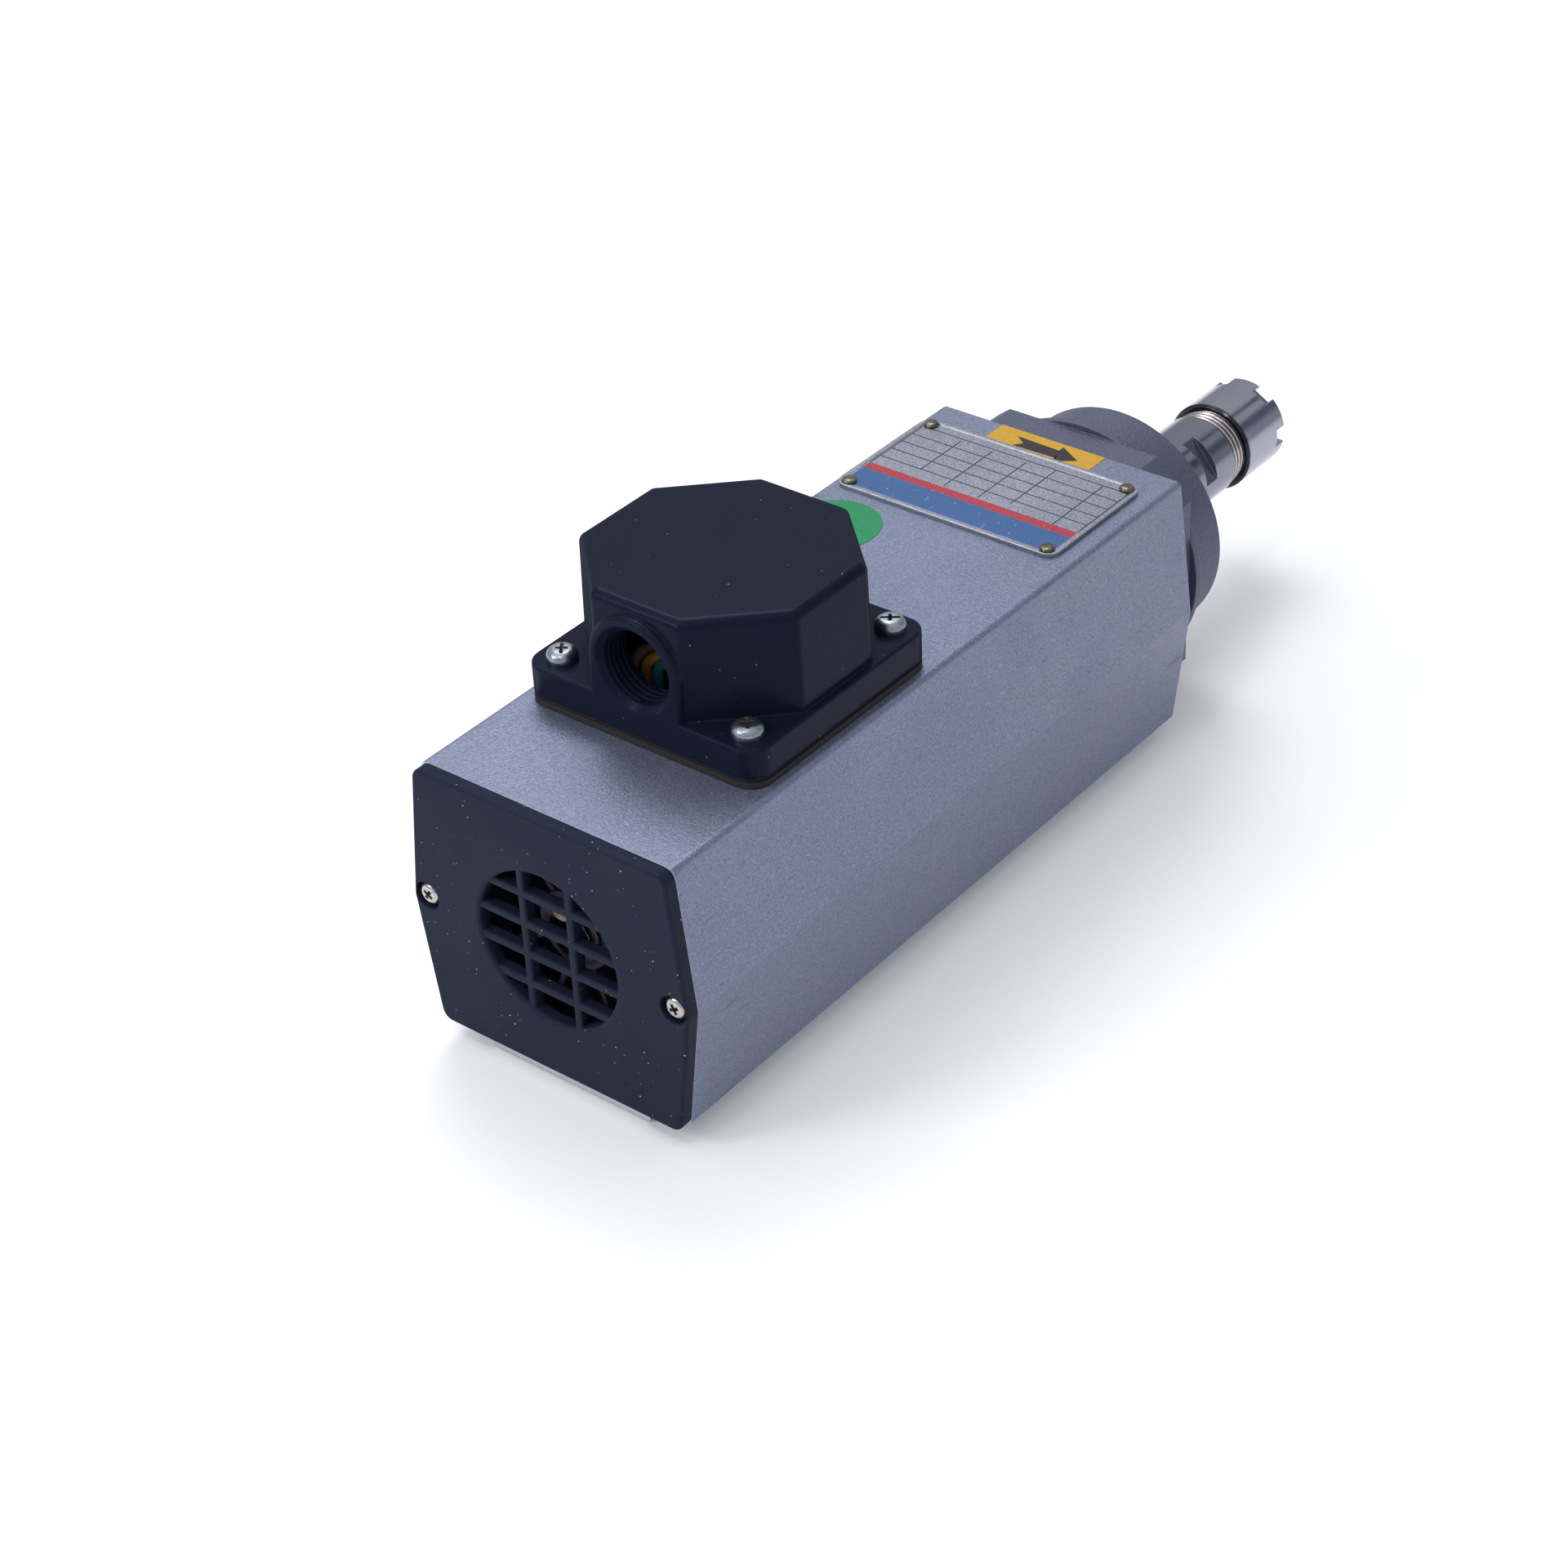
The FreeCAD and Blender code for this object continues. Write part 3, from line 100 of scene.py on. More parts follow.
def make_edge_group():
    """Marks the edges, where handling rubs a finish bright and a painted highlight lies, and
    softens the normal over them.
    """
    tree, given, result = new_group("worn_and_highlit_edges", [("Radius", 0.0004), ("Gain", 3.0)],
                                    [("Edge", "NodeSocketFloat"), ("Normal", "NodeSocketVector")])
    soft = add_node(tree, "ShaderNodeBevel", samples=6)
    feed(tree, soft, "Radius", given.outputs["Radius"])
    surface = add_node(tree, "ShaderNodeNewGeometry")
    likeness = add_node(tree, "ShaderNodeVectorMath", operation="DOT_PRODUCT")
    feed(tree, likeness, 0, soft.outputs["Normal"])
    feed(tree, likeness, 1, surface.outputs["Normal"])
    turned = add_node(tree, "ShaderNodeMath", operation="SUBTRACT", use_clamp=True)
    feed(tree, turned, 0, 1.0)
    feed(tree, turned, 1, likeness.outputs["Value"])
    gained = add_node(tree, "ShaderNodeMath", operation="MULTIPLY", use_clamp=True)
    feed(tree, gained, 0, turned.outputs[0])
    feed(tree, gained, 1, given.outputs["Gain"])
    patchy = add_node(tree, "ShaderNodeTexNoise")
    place = add_node(tree, "ShaderNodeTexCoord")
    feed(tree, patchy, "Vector", place.outputs["Object"])
    feed(tree, patchy, "Scale", edge_patch_scale)
    patchy_edge = add_node(tree, "ShaderNodeMath", operation="MULTIPLY", use_clamp=True)
    feed(tree, patchy_edge, 0, gained.outputs[0])
    feed(tree, patchy_edge, 1, patchy.outputs["Fac"])
    feed(tree, result, "Edge", patchy_edge.outputs[0])
    feed(tree, result, "Normal", soft.outputs["Normal"])
    return tree


def make_speck_group():
    """Sparse pale specks: lint and dust on some finishes, painted glints on others."""
    tree, given, result = new_group("dust_and_glint_specks", [("Scale", 400.0), ("Share", 0.1)],
                                    [("Speck", "NodeSocketFloat")])
    place = add_node(tree, "ShaderNodeTexCoord")
    cells = add_node(tree, "ShaderNodeTexVoronoi")
    feed(tree, cells, "Vector", place.outputs["Object"])
    feed(tree, cells, "Scale", given.outputs["Scale"])
    chance = add_node(tree, "ShaderNodeTexWhiteNoise", noise_dimensions="3D")
    feed(tree, chance, "Vector", cells.outputs["Color"])
    split = add_node(tree, "ShaderNodeSeparateColor")
    feed(tree, split, 0, chance.outputs["Color"])
    chosen = add_node(tree, "ShaderNodeMath", operation="LESS_THAN")
    feed(tree, chosen, 0, split.outputs[0])
    feed(tree, chosen, 1, given.outputs["Share"])
    near = add_node(tree, "ShaderNodeMapRange")
    feed(tree, near, "Value", cells.outputs["Distance"])
    feed(tree, near, "From Min", speck_rim)
    feed(tree, near, "From Max", speck_core)
    speck = add_node(tree, "ShaderNodeMath", operation="MULTIPLY", use_clamp=True)
    feed(tree, speck, 0, near.outputs["Result"])
    feed(tree, speck, 1, chosen.outputs[0])
    faint = add_node(tree, "ShaderNodeMath", operation="POWER", use_clamp=True)
    feed(tree, faint, 0, split.outputs[1])
    feed(tree, faint, 1, speck_fading)
    varied = add_node(tree, "ShaderNodeMath", operation="MULTIPLY", use_clamp=True)
    feed(tree, varied, 0, speck.outputs[0])
    feed(tree, varied, 1, faint.outputs[0])
    feed(tree, result, "Speck", varied.outputs[0])
    return tree


def make_scuff_group():
    """Short fine scratches that run one way across the piece."""
    tree, given, result = new_group("fine_scuffs", [("Turn", 0.4), ("Limit", 0.70)],
                                    [("Scuff", "NodeSocketFloat")])
    place = add_node(tree, "ShaderNodeTexCoord")
    angle = add_node(tree, "ShaderNodeCombineXYZ")
    feed(tree, angle, "Z", given.outputs["Turn"])
    stretch = add_node(tree, "ShaderNodeMapping")
    feed(tree, stretch, "Vector", place.outputs["Object"])
    feed(tree, stretch, "Rotation", angle.outputs[0])
    feed(tree, stretch, "Scale", scuff_stretch)
    lines = add_node(tree, "ShaderNodeTexNoise")
    feed(tree, lines, "Vector", stretch.outputs[0])
    feed(tree, lines, "Scale", 1.0)
    feed(tree, lines, "Detail", 1.0)
    mark = add_node(tree, "ShaderNodeMapRange")
    feed(tree, mark, "Value", lines.outputs["Fac"])
    feed(tree, mark, "From Min", given.outputs["Limit"])
    feed(tree, mark, "From Max", scuff_full)
    feed(tree, result, "Scuff", mark.outputs["Result"])
    return tree


def make_area_group():
    """A rectangle seen from above, between two places along the part and two across it."""
    limits = [(label, 0.0) for label in ("Low X", "High X", "Low Y", "High Y")]
    tree, given, result = new_group("coloured_area", limits, [("Mask", "NodeSocketFloat")])
    place = add_node(tree, "ShaderNodeTexCoord")
    split = add_node(tree, "ShaderNodeSeparateXYZ")
    feed(tree, split, 0, place.outputs["Object"])
    inside = 1.0
    for axis in ("X", "Y"):
        for limit, sign in (("Low " + axis, 1.0), ("High " + axis, -1.0)):
            past = add_node(tree, "ShaderNodeMath", operation="SUBTRACT")
            feed(tree, past, 0, split.outputs[axis])
            feed(tree, past, 1, given.outputs[limit])
            sharp = add_node(tree, "ShaderNodeMath", operation="MULTIPLY_ADD", use_clamp=True)
            feed(tree, sharp, 0, past.outputs[0])
            feed(tree, sharp, 1, sign * area_sharpness)
            feed(tree, sharp, 2, 0.5)
            both = add_node(tree, "ShaderNodeMath", operation="MULTIPLY")
            feed(tree, both, 0, inside)
            feed(tree, both, 1, sharp.outputs[0])
            inside = both.outputs[0]
    feed(tree, result, "Mask", inside)
    return tree


cloud_scale = 35.0
cloud_detail = 4.0
edge_patch_scale = 260.0
speck_rim = 0.30
speck_core = 0.16
speck_fading = 2.0
scuff_stretch = (60.0, 1500.0, 400.0)
scuff_full = 0.80
area_sharpness = 12000.0
grain_group = make_grain_group()
edge_group = make_edge_group()
speck_group = make_speck_group()
scuff_group = make_scuff_group()
area_group = make_area_group()
pale_cloud_range = (0.35, 0.75)
dull_cloud_range = (0.3, 0.7)
slant_range = (0.50, 0.90)
slant_roughness = 0.95


def scaled(colour, share):
    return tuple(min(1.0, c * share) for c in colour) + (1.0,)


def mix_colours(tree, factor, low, high):
    mixed = add_node(tree, "ShaderNodeMix", data_type="RGBA")
    feed(tree, mixed, "Factor", factor)
    feed(tree, mixed, 6, low)
    feed(tree, mixed, 7, high)
    return mixed.outputs[2]


def surface(name, colour, roughness, metallic=0.0, shade=0.15, spread=0.08, grain=2600.0,
            contrast=1.6, relief=0.00002, edge_wear_and_highlight=None, edge_radius=0.0004, edge_gain=3.0,
            speck_colour=None, specks=0.1, speck_scale=900.0, scuff_colour=None, scuff_limit=0.70,
            scuff_turn=0.4, specular=0.5, tint=(1.0, 1.0, 1.0), cloud=0.0, cloud_gain=1.6,
            areas=(), ink=False, dull_aslant=False):
    """A finish with grain, a cloudy roughness, and edges rubbed pale with a painted highlight on
    them.

    Pale specks (dust on some finishes, painted glints on others), scuffs, pale clouds and coloured
    areas, painted shade among them, come on top where they are given. Ink covers the metal under
    its areas, and a finish that is dull aslant loses its gloss at a low angle.
    """
    material = bpy.data.materials.new(name)
    material.use_nodes = True
    tree = material.node_tree
    shader = tree.nodes["Principled BSDF"]
    shader.inputs["Metallic"].default_value = metallic
    shader.inputs["Specular IOR Level"].default_value = specular
    shader.inputs["Specular Tint"].default_value = (*tint, 1.0)
    speckle = add_node(tree, "ShaderNodeGroup", node_tree=grain_group)
    feed(tree, speckle, "Scale", grain)
    feed(tree, speckle, "Contrast", contrast)
    tone = mix_colours(tree, speckle.outputs["Grain"], scaled(colour, 1 - shade),
                       scaled(colour, 1 + shade))
    if cloud:
        patch = add_node(tree, "ShaderNodeMapRange")
        feed(tree, patch, "Value", speckle.outputs["Cloud"])
        feed(tree, patch, "From Min", pale_cloud_range[0])
        feed(tree, patch, "From Max", pale_cloud_range[1])
        feed(tree, patch, "To Max", cloud)
        tone = mix_colours(tree, patch.outputs["Result"], tone, scaled(colour, cloud_gain))
    covered = 0.0
    # Coloured areas: print, the bright sawn end, and painted shade on the nut and the shaft's end.
    for low_x, high_x, low_y, high_y, area_colour in areas:
        area = add_node(tree, "ShaderNodeGroup", node_tree=area_group)
        feed(tree, area, "Low X", low_x)
        feed(tree, area, "High X", high_x)
        feed(tree, area, "Low Y", low_y)
        feed(tree, area, "High Y", high_y)
        tone = mix_colours(tree, area.outputs["Mask"], tone, (*area_colour, 1.0))
        if ink:
            total = add_node(tree, "ShaderNodeMath", operation="MAXIMUM")
            feed(tree, total, 0, covered)
            feed(tree, total, 1, area.outputs["Mask"])
            covered = total.outputs[0]
    if ink:
        bare = add_node(tree, "ShaderNodeMapRange")
        feed(tree, bare, "Value", covered)
        feed(tree, bare, "To Min", metallic)
        feed(tree, bare, "To Max", 0.0)
        feed(tree, shader, "Metallic", bare.outputs["Result"])
    worn_and_highlit = add_node(tree, "ShaderNodeGroup", node_tree=edge_group)
    feed(tree, worn_and_highlit, "Radius", edge_radius)
    feed(tree, worn_and_highlit, "Gain", edge_gain)
    # Rubbed wear and a painted highlight on the edges.
    if edge_wear_and_highlight:
        tone = mix_colours(tree, worn_and_highlit.outputs["Edge"], tone, edge_wear_and_highlight + (1.0,))
    if scuff_colour:
        scuffs = add_node(tree, "ShaderNodeGroup", node_tree=scuff_group)
        feed(tree, scuffs, "Turn", scuff_turn)
        feed(tree, scuffs, "Limit", scuff_limit)
        tone = mix_colours(tree, scuffs.outputs["Scuff"], tone, scuff_colour + (1.0,))
    # Pale specks: dust on some finishes, painted glints on others.
    if speck_colour:
        speckling = add_node(tree, "ShaderNodeGroup", node_tree=speck_group)
        feed(tree, speckling, "Share", specks)
        feed(tree, speckling, "Scale", speck_scale)
        tone = mix_colours(tree, speckling.outputs["Speck"], tone, speck_colour + (1.0,))
    feed(tree, shader, "Base Color", tone)
    dull = add_node(tree, "ShaderNodeMapRange")
    feed(tree, dull, "Value", speckle.outputs["Cloud"])
    feed(tree, dull, "From Min", dull_cloud_range[0])
    feed(tree, dull, "From Max", dull_cloud_range[1])
    feed(tree, dull, "To Min", roughness - spread)
    feed(tree, dull, "To Max", roughness + spread)
    gloss = dull.outputs["Result"]
    if dull_aslant:
        slant = add_node(tree, "ShaderNodeLayerWeight")
        fading = add_node(tree, "ShaderNodeMapRange")
        feed(tree, fading, "Value", slant.outputs["Facing"])
        feed(tree, fading, "From Min", slant_range[0])
        feed(tree, fading, "From Max", slant_range[1])
        feed(tree, fading, "To Min", gloss)
        feed(tree, fading, "To Max", slant_roughness)
        gloss = fading.outputs["Result"]
    feed(tree, shader, "Roughness", gloss)
    bump = add_node(tree, "ShaderNodeBump")
    feed(tree, bump, "Height", speckle.outputs["Grain"])
    feed(tree, bump, "Distance", relief)
    feed(tree, bump, "Normal", worn_and_highlit.outputs["Normal"])
    feed(tree, shader, "Normal", bump.outputs["Normal"])
    return material


def dress(material, *names):
    for name in names:
        for place in nodes[name].material_slots:
            place.material = material


body_low, body_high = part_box("body_extrusion")
sawn_depth = 0.00005
sawn_end = (body_low.x - sawn_depth, body_low.x + sawn_depth, body_low.y, body_high.y,
            (0.62, 0.64, 0.70))
# Pale edges: rubbed wear with a painted highlight. Pale specks: painted glints.
blasted_body = surface("blasted_body", (0.192, 0.217, 0.309), 0.42, metallic=0.60, shade=0.27,
                       grain=2300.0, contrast=2.4, relief=0.00004, edge_wear_and_highlight=(0.34, 0.36, 0.44),
                       edge_radius=0.0005, edge_gain=1.5, speck_colour=(0.60, 0.62, 0.70),
                       specks=0.03, speck_scale=1500.0, scuff_colour=(0.130, 0.145, 0.195),
                       scuff_limit=0.750, cloud=0.10, areas=[sawn_end])
dress(blasted_body, "body_extrusion")


# End shields
# Both shields are aluminium castings, left as cast outside and turned where bearings sit.
# The front one carries the round flange, the step and the nose.
cast_shield = surface("cast_shield", (0.093, 0.106, 0.155), 0.52, metallic=0.5, shade=0.16,
                      grain=1500.0, contrast=2.2, relief=0.00008, edge_wear_and_highlight=(0.27, 0.285, 0.34),
                      edge_radius=0.0006, edge_gain=1.5, speck_colour=(0.40, 0.42, 0.48),
                      specks=0.03, speck_scale=1500.0, cloud=0.20)
dress(cast_shield, "front_shield", "rear_shield")


# Inner parts of the motor
# Stacked sheet cores, enamelled copper windings, cast rotor rings, ground bearing rings and
# blued spring steel. They are closed in, but each one keeps its own finish.
core_sheet = surface("core_sheet", (0.16, 0.16, 0.17), 0.45, metallic=0.8)
enamelled_copper = surface("enamelled_copper", (0.45, 0.16, 0.06), 0.35, metallic=0.6, grain=500.0,
                           relief=0.0002)
cast_rings = surface("cast_rings", (0.50, 0.50, 0.52), 0.45, metallic=0.9, grain=700.0)
bearing_finish = surface("bearing_finish", (0.55, 0.56, 0.58), 0.16, metallic=1.0, shade=0.05,
                         spread=0.04)
cage_brass = surface("cage_brass", (0.55, 0.38, 0.14), 0.30, metallic=1.0, shade=0.08)
blued_steel = surface("blued_steel", (0.07, 0.07, 0.085), 0.32, metallic=0.9, shade=0.1,
                      edge_wear_and_highlight=(0.3, 0.3, 0.32))
turned_cover = surface("turned_cover", (0.30, 0.31, 0.34), 0.28, metallic=1.0, shade=0.08)
zinc_plate = surface("zinc_plate", (0.30, 0.34, 0.38), 0.33, metallic=1.0, shade=0.16, spread=0.08,
                     grain=1500.0, relief=0.00004, edge_wear_and_highlight=(0.52, 0.56, 0.59),
                     edge_radius=0.0001, cloud=0.25)
dress(core_sheet, "stator_core", "rotor_core")
dress(enamelled_copper, "stator_windings")
dress(cast_rings, "rotor_cage_rings")
dress(bearing_finish, "front_bearing_outer_ring_1", "front_bearing_outer_ring_2",
      "front_bearing_inner_ring_1", "front_bearing_inner_ring_2", "rear_bearing_outer_ring",
      "rear_bearing_inner_ring", "bearing_balls")
dress(cage_brass, "bearing_cages")
dress(blued_steel, "wave_spring", "bearing_lock_nut", "fan_circlip")
dress(turned_cover, "front_bearing_cover")
dress(zinc_plate, "front_cover_screws", "tie_bolts")


# Spindle shaft
# A ground steel shaft with two wrench flats. Its end has a fine thread for the collet nut,
# of which a few turns show between the shaft's shoulder and the nut.
def apply_modifiers(piece):
    bpy.ops.object.select_all(action="DESELECT")
    piece.select_set(True)
    bpy.context.view_layer.objects.active = piece
    for modifier in list(piece.modifiers):
        bpy.ops.object.modifier_apply(modifier=modifier.name)


def settle(piece, name, material, body):
    """Leaves a finished piece at the origin with its place in its mesh, and gives it its body.

    A piece that comes without a material keeps those that its faces already have.
    """
    bpy.ops.object.select_all(action="DESELECT")
    piece.select_set(True)
    bpy.context.view_layer.objects.active = piece
    bpy.ops.object.transform_apply(location=True, rotation=True, scale=True)
    piece.name = name
    piece.data.name = name
    if material:
        piece.data.materials.clear()
        piece.data.materials.append(material)
    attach(piece, body)
    return piece


def pick(piece, test):
    """Selects the vertices for which the test of their place is true, then opens edit mode."""
    bpy.context.view_layer.objects.active = piece
    bpy.ops.object.mode_set(mode="EDIT")
    bpy.ops.mesh.select_mode(type="VERT")
    bpy.ops.mesh.select_all(action="DESELECT")
    bpy.ops.object.mode_set(mode="OBJECT")
    for vertex in piece.data.vertices:
        vertex.select = test(vertex.co)
    bpy.ops.object.mode_set(mode="EDIT")


def close_ends(piece):
    """Closes every open loop of a tube-like mesh and turns its faces outwards."""
    bpy.context.view_layer.objects.active = piece
    bpy.ops.object.mode_set(mode="EDIT")
    bpy.ops.mesh.select_mode(type="EDGE")
    bpy.ops.mesh.select_all(action="SELECT")
    bpy.ops.mesh.remove_doubles(threshold=1e-7)
    bpy.ops.mesh.select_all(action="DESELECT")
    bpy.ops.mesh.select_non_manifold()
    bpy.ops.mesh.edge_face_add()
    bpy.ops.mesh.select_all(action="SELECT")
    bpy.ops.mesh.normals_make_consistent(inside=False)
    bpy.ops.object.mode_set(mode="OBJECT")


def helix_ridge(name, root, crest, pitch, turns, start_x, height_z):
    """A thread ridge along X: a small triangle profile that the screw modifier winds up."""
    bpy.ops.object.select_all(action="DESELECT")
    middle = (root + crest) / 2
    foot = pitch * thread_foot_share
    bpy.ops.mesh.primitive_circle_add(vertices=3, radius=foot, location=(middle, 0, 0),
                                      rotation=(math.pi / 2, 0, 0))
    ridge = bpy.context.object
    bpy.ops.object.transform_apply(location=True, rotation=True, scale=True)
    corners = [(root, -foot), (root, foot), (crest, 0.0)]
    for vertex, (x, z) in zip(ridge.data.vertices, corners):
        vertex.co = Vector((x, 0, z))
    winding = ridge.modifiers.new("winding", "SCREW")
    winding.axis = "Z"
    winding.screw_offset = pitch
    winding.iterations = turns
    winding.steps = thread_steps
    winding.render_steps = thread_steps
    apply_modifiers(ridge)
    close_ends(ridge)
    ridge.name = name
    ridge.rotation_euler = (0, math.pi / 2, 0)
    ridge.location = (start_x, 0, height_z)
    return ridge


thread_foot_share = 0.46
thread_steps = 64
shaft_low, shaft_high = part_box("spindle_shaft")
tail_length = 0.004
area_spare = 0.001
# Painted shade: the shaft's rear end, inside the dark fan chamber, is coloured nearly black.
painted_shade_tail = (shaft_low.x - area_spare, shaft_low.x + tail_length, shaft_low.y, shaft_high.y,
             (0.030, 0.030, 0.036))
ground_steel = surface("ground_steel", (0.23, 0.24, 0.29), 0.19, metallic=1.0, shade=0.10,
                       spread=0.06, relief=0.00001, edge_wear_and_highlight=(0.5, 0.51, 0.55),
                       edge_radius=0.0003, cloud=0.20, areas=[painted_shade_tail])
bright_thread = surface("bright_thread", (0.52, 0.48, 0.47), 0.20, metallic=1.0, shade=0.12)
dress(ground_steel, "spindle_shaft")
nut_low, nut_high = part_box("collet_nut")
axis_z = (nut_low.z + nut_high.z) / 2
thread_pitch = 0.0015
thread_root = 0.01015
thread_crest = 0.01100
thread_length = 0.0150
thread_turns = int(thread_length / thread_pitch)
shaft_thread = helix_ridge("shaft_thread", thread_root, thread_crest, thread_pitch, thread_turns,
                           shaft_high.x - thread_turns * thread_pitch - thread_pitch / 2, axis_z)
settle(shaft_thread, "shaft_thread", bright_thread, "rotor")


# Collet and collet nut
# The slotted nut is turned from steel, ground bright outside, and draws the slit spring collet
# into the shaft's cone. Its chamfered rear edge is painted dark as shade.
nut_edge = 0.0009
# Painted shade: a dark band round the nut's rear edge.
nut_shadow = (nut_low.x - area_spare, nut_low.x + nut_edge, nut_low.y, nut_high.y,
              (0.035, 0.036, 0.045))
nut_steel = surface("nut_steel", (0.335, 0.345, 0.405), 0.17, metallic=1.0, shade=0.10, spread=0.04,
                    relief=0.00001, edge_wear_and_highlight=(0.55, 0.56, 0.60), edge_radius=0.0003,
                    cloud=0.15, areas=[nut_shadow])
collet_steel = surface("collet_steel", (0.36, 0.36, 0.38), 0.22, metallic=1.0, shade=0.08)
dress(nut_steel, "collet_nut")
dress(collet_steel, "collet")


# Fan
# A black moulded fan behind the grille, held by the circlip. A dab of pale putty on the shaft's
# end balances the rotor.
fan_moulding = surface("fan_moulding", (0.060, 0.050, 0.072), 0.42, shade=0.2, spread=0.08,
                       specular=0.12, tint=(0.75, 0.85, 1.0))
putty = surface("putty", (0.42, 0.32, 0.29), 0.65, shade=0.2, grain=900.0, relief=0.0001)
dress(fan_moulding, "cooling_fan")
dab_place = Vector((shaft_low.x, 0.0020, 0.0442))
dab_size = Vector((0.0006, 0.0022, 0.0011))
bpy.ops.object.select_all(action="DESELECT")
bpy.ops.mesh.primitive_uv_sphere_add(segments=24, ring_count=12, radius=1.0, location=(0, 0, 0))
balance_dab = bpy.context.object
pick(balance_dab, lambda co: True)
bpy.ops.transform.resize(value=dab_size, center_override=(0, 0, 0))
bpy.ops.transform.translate(value=dab_place)
bpy.ops.object.mode_set(mode="OBJECT")
pick(balance_dab, lambda co: co.z > dab_place.z + dab_size.z / 3)
bpy.ops.transform.translate(value=(0, dab_size.y / 3, 0))
bpy.ops.object.mode_set(mode="OBJECT")
bpy.ops.object.shade_smooth()
settle(balance_dab, "balance_dab", putty, "rotor")


# Rear cover
# A matt black plate moulded with a round grille, which closes the fan's chamber. It has gathered
# lint and pale smears.
rear_moulding = surface("rear_moulding", (0.0116, 0.0152, 0.0305), 0.60, shade=0.16, spread=0.10,
                        grain=2400.0, contrast=1.8, relief=0.00003,
                        edge_wear_and_highlight=(0.030, 0.036, 0.060), edge_radius=0.0006, edge_gain=2.0,
                        speck_colour=(0.62, 0.65, 0.72), specks=0.040, speck_scale=1350.0,
                        specular=0.14, tint=(0.60, 0.78, 1.0), cloud=0.45)
dress(rear_moulding, "rear_cover")


# Rear cover screws
# Two pan head screws with a cross recess, zinc plated, in counterbores of the cover. The faces of
# the recesses are coloured dark brown.
dark_brown_recess = surface("dark_brown_recess", (0.055, 0.040, 0.034), 0.45, metallic=0.3, shade=0.2)
cover_plating = surface("cover_plating", (0.50, 0.47, 0.47), 0.26, metallic=0.9, shade=0.20,
                        spread=0.08, grain=1500.0, relief=0.00005, edge_wear_and_highlight=(0.8, 0.78, 0.78),
                        edge_radius=0.0001)


def recess_cutter(width, reach, depth, top, turn):
    """One tapered blade of a screw recess, standing in the head's top."""
    bpy.ops.object.select_all(action="DESELECT")
    bpy.ops.mesh.primitive_cube_add(size=1, location=(0, 0, top), scale=(reach, width, 2 * depth))
    blade = bpy.context.object
    blade.data.materials.append(dark_brown_recess)
    bpy.ops.object.transform_apply(location=True, rotation=True, scale=True)
    pick(blade, lambda co: co.z < top)
    bpy.ops.transform.resize(value=recess_taper, center_override=(0, 0, top - depth))
    bpy.ops.object.mode_set(mode="OBJECT")
    blade.rotation_euler = (0, 0, turn)
    return blade


def pan_screw(head_radius, head_height, shank_radius, shank_length, blades, plating):
    """A pan head screw with its seat at the origin and its shank down -Z."""
    bpy.ops.object.select_all(action="DESELECT")
    bpy.ops.mesh.primitive_cylinder_add(vertices=48, radius=head_radius, depth=head_height,
                                        location=(0, 0, head_height / 2))
    screw = bpy.context.object
    screw.data.materials.append(plating)
    bpy.ops.object.transform_apply(location=True, rotation=True, scale=True)
    pick(screw, lambda co: co.z > head_height * 0.9)
    bpy.ops.mesh.bevel(offset=head_height * head_rounding, segments=9, profile=0.5,
                       affect="EDGES")
    bpy.ops.object.mode_set(mode="OBJECT")
    pick(screw, lambda co: co.z < head_height * 0.1)
    bpy.ops.mesh.select_mode(type="FACE")
    bpy.ops.mesh.inset(thickness=head_radius - shank_radius)
    bpy.ops.mesh.extrude_region_move(TRANSFORM_OT_translate={"value": (0, 0, -shank_length)})
    bpy.ops.object.mode_set(mode="OBJECT")
    for number, blade in enumerate(blades):
        cut = screw.modifiers.new("recess_" + str(number), "BOOLEAN")
        cut.operation = "DIFFERENCE"
        cut.object = blade
        cut.solver = "EXACT"
        cut.material_mode = "TRANSFER"
    apply_modifiers(screw)
    for blade in blades:
        bpy.data.objects.remove(blade)
    bpy.ops.object.select_all(action="DESELECT")
    screw.select_set(True)
    bpy.context.view_layer.objects.active = screw
    bpy.ops.object.shade_smooth_by_angle(angle=sharp_angle)
    return screw


def copies(master, places, name, turns, body, node):
    """Sets copies of a screw at its places, each turned about its axis, and drops the master."""
    for number, (place, spin) in enumerate(zip(places, turns)):
        copy = master.copy()
        copy.data = master.data.copy()
        bpy.context.scene.collection.objects.link(copy)
        copy.matrix_world = place @ Matrix.Rotation(spin, 4, "Z")
        settle(copy, name + "_" + str(number + 1), None, body)
        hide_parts(node)
    bpy.data.objects.remove(master)


head_rounding = 0.70
sharp_angle = 0.5
recess_taper = (0.35, 0.7, 1)
cover_head_radius = 0.00285
cover_head_height = 0.0019
cover_shank_radius = 0.0014
cover_recess_width = 0.0010
cover_recess_reach = 0.0040
cover_recess_depth = 0.0011
cover_turns = (0.5, 1.0)
cover_screw_low, cover_screw_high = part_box("rear_cover_screws")
cover_shank = cover_screw_high.x - cover_screw_low.x - cover_head_height
cover_blades = [recess_cutter(cover_recess_width, cover_recess_reach, cover_recess_depth,
                              cover_head_height, turn) for turn in (0, math.pi / 2)]
cover_screw = pan_screw(cover_head_radius, cover_head_height, cover_shank_radius, cover_shank,
                        cover_blades, cover_plating)
cover_places = [Matrix.Translation((cover_screw_low.x + cover_head_height, y, axis_z))
                @ Matrix.Rotation(-math.pi / 2, 4, "Y")
                for y in (cover_screw_low.y + cover_head_radius,
                          cover_screw_high.y - cover_head_radius)]
copies(cover_screw, cover_places, "rear_cover_screw", cover_turns, "housing",
       "rear_cover_screws")


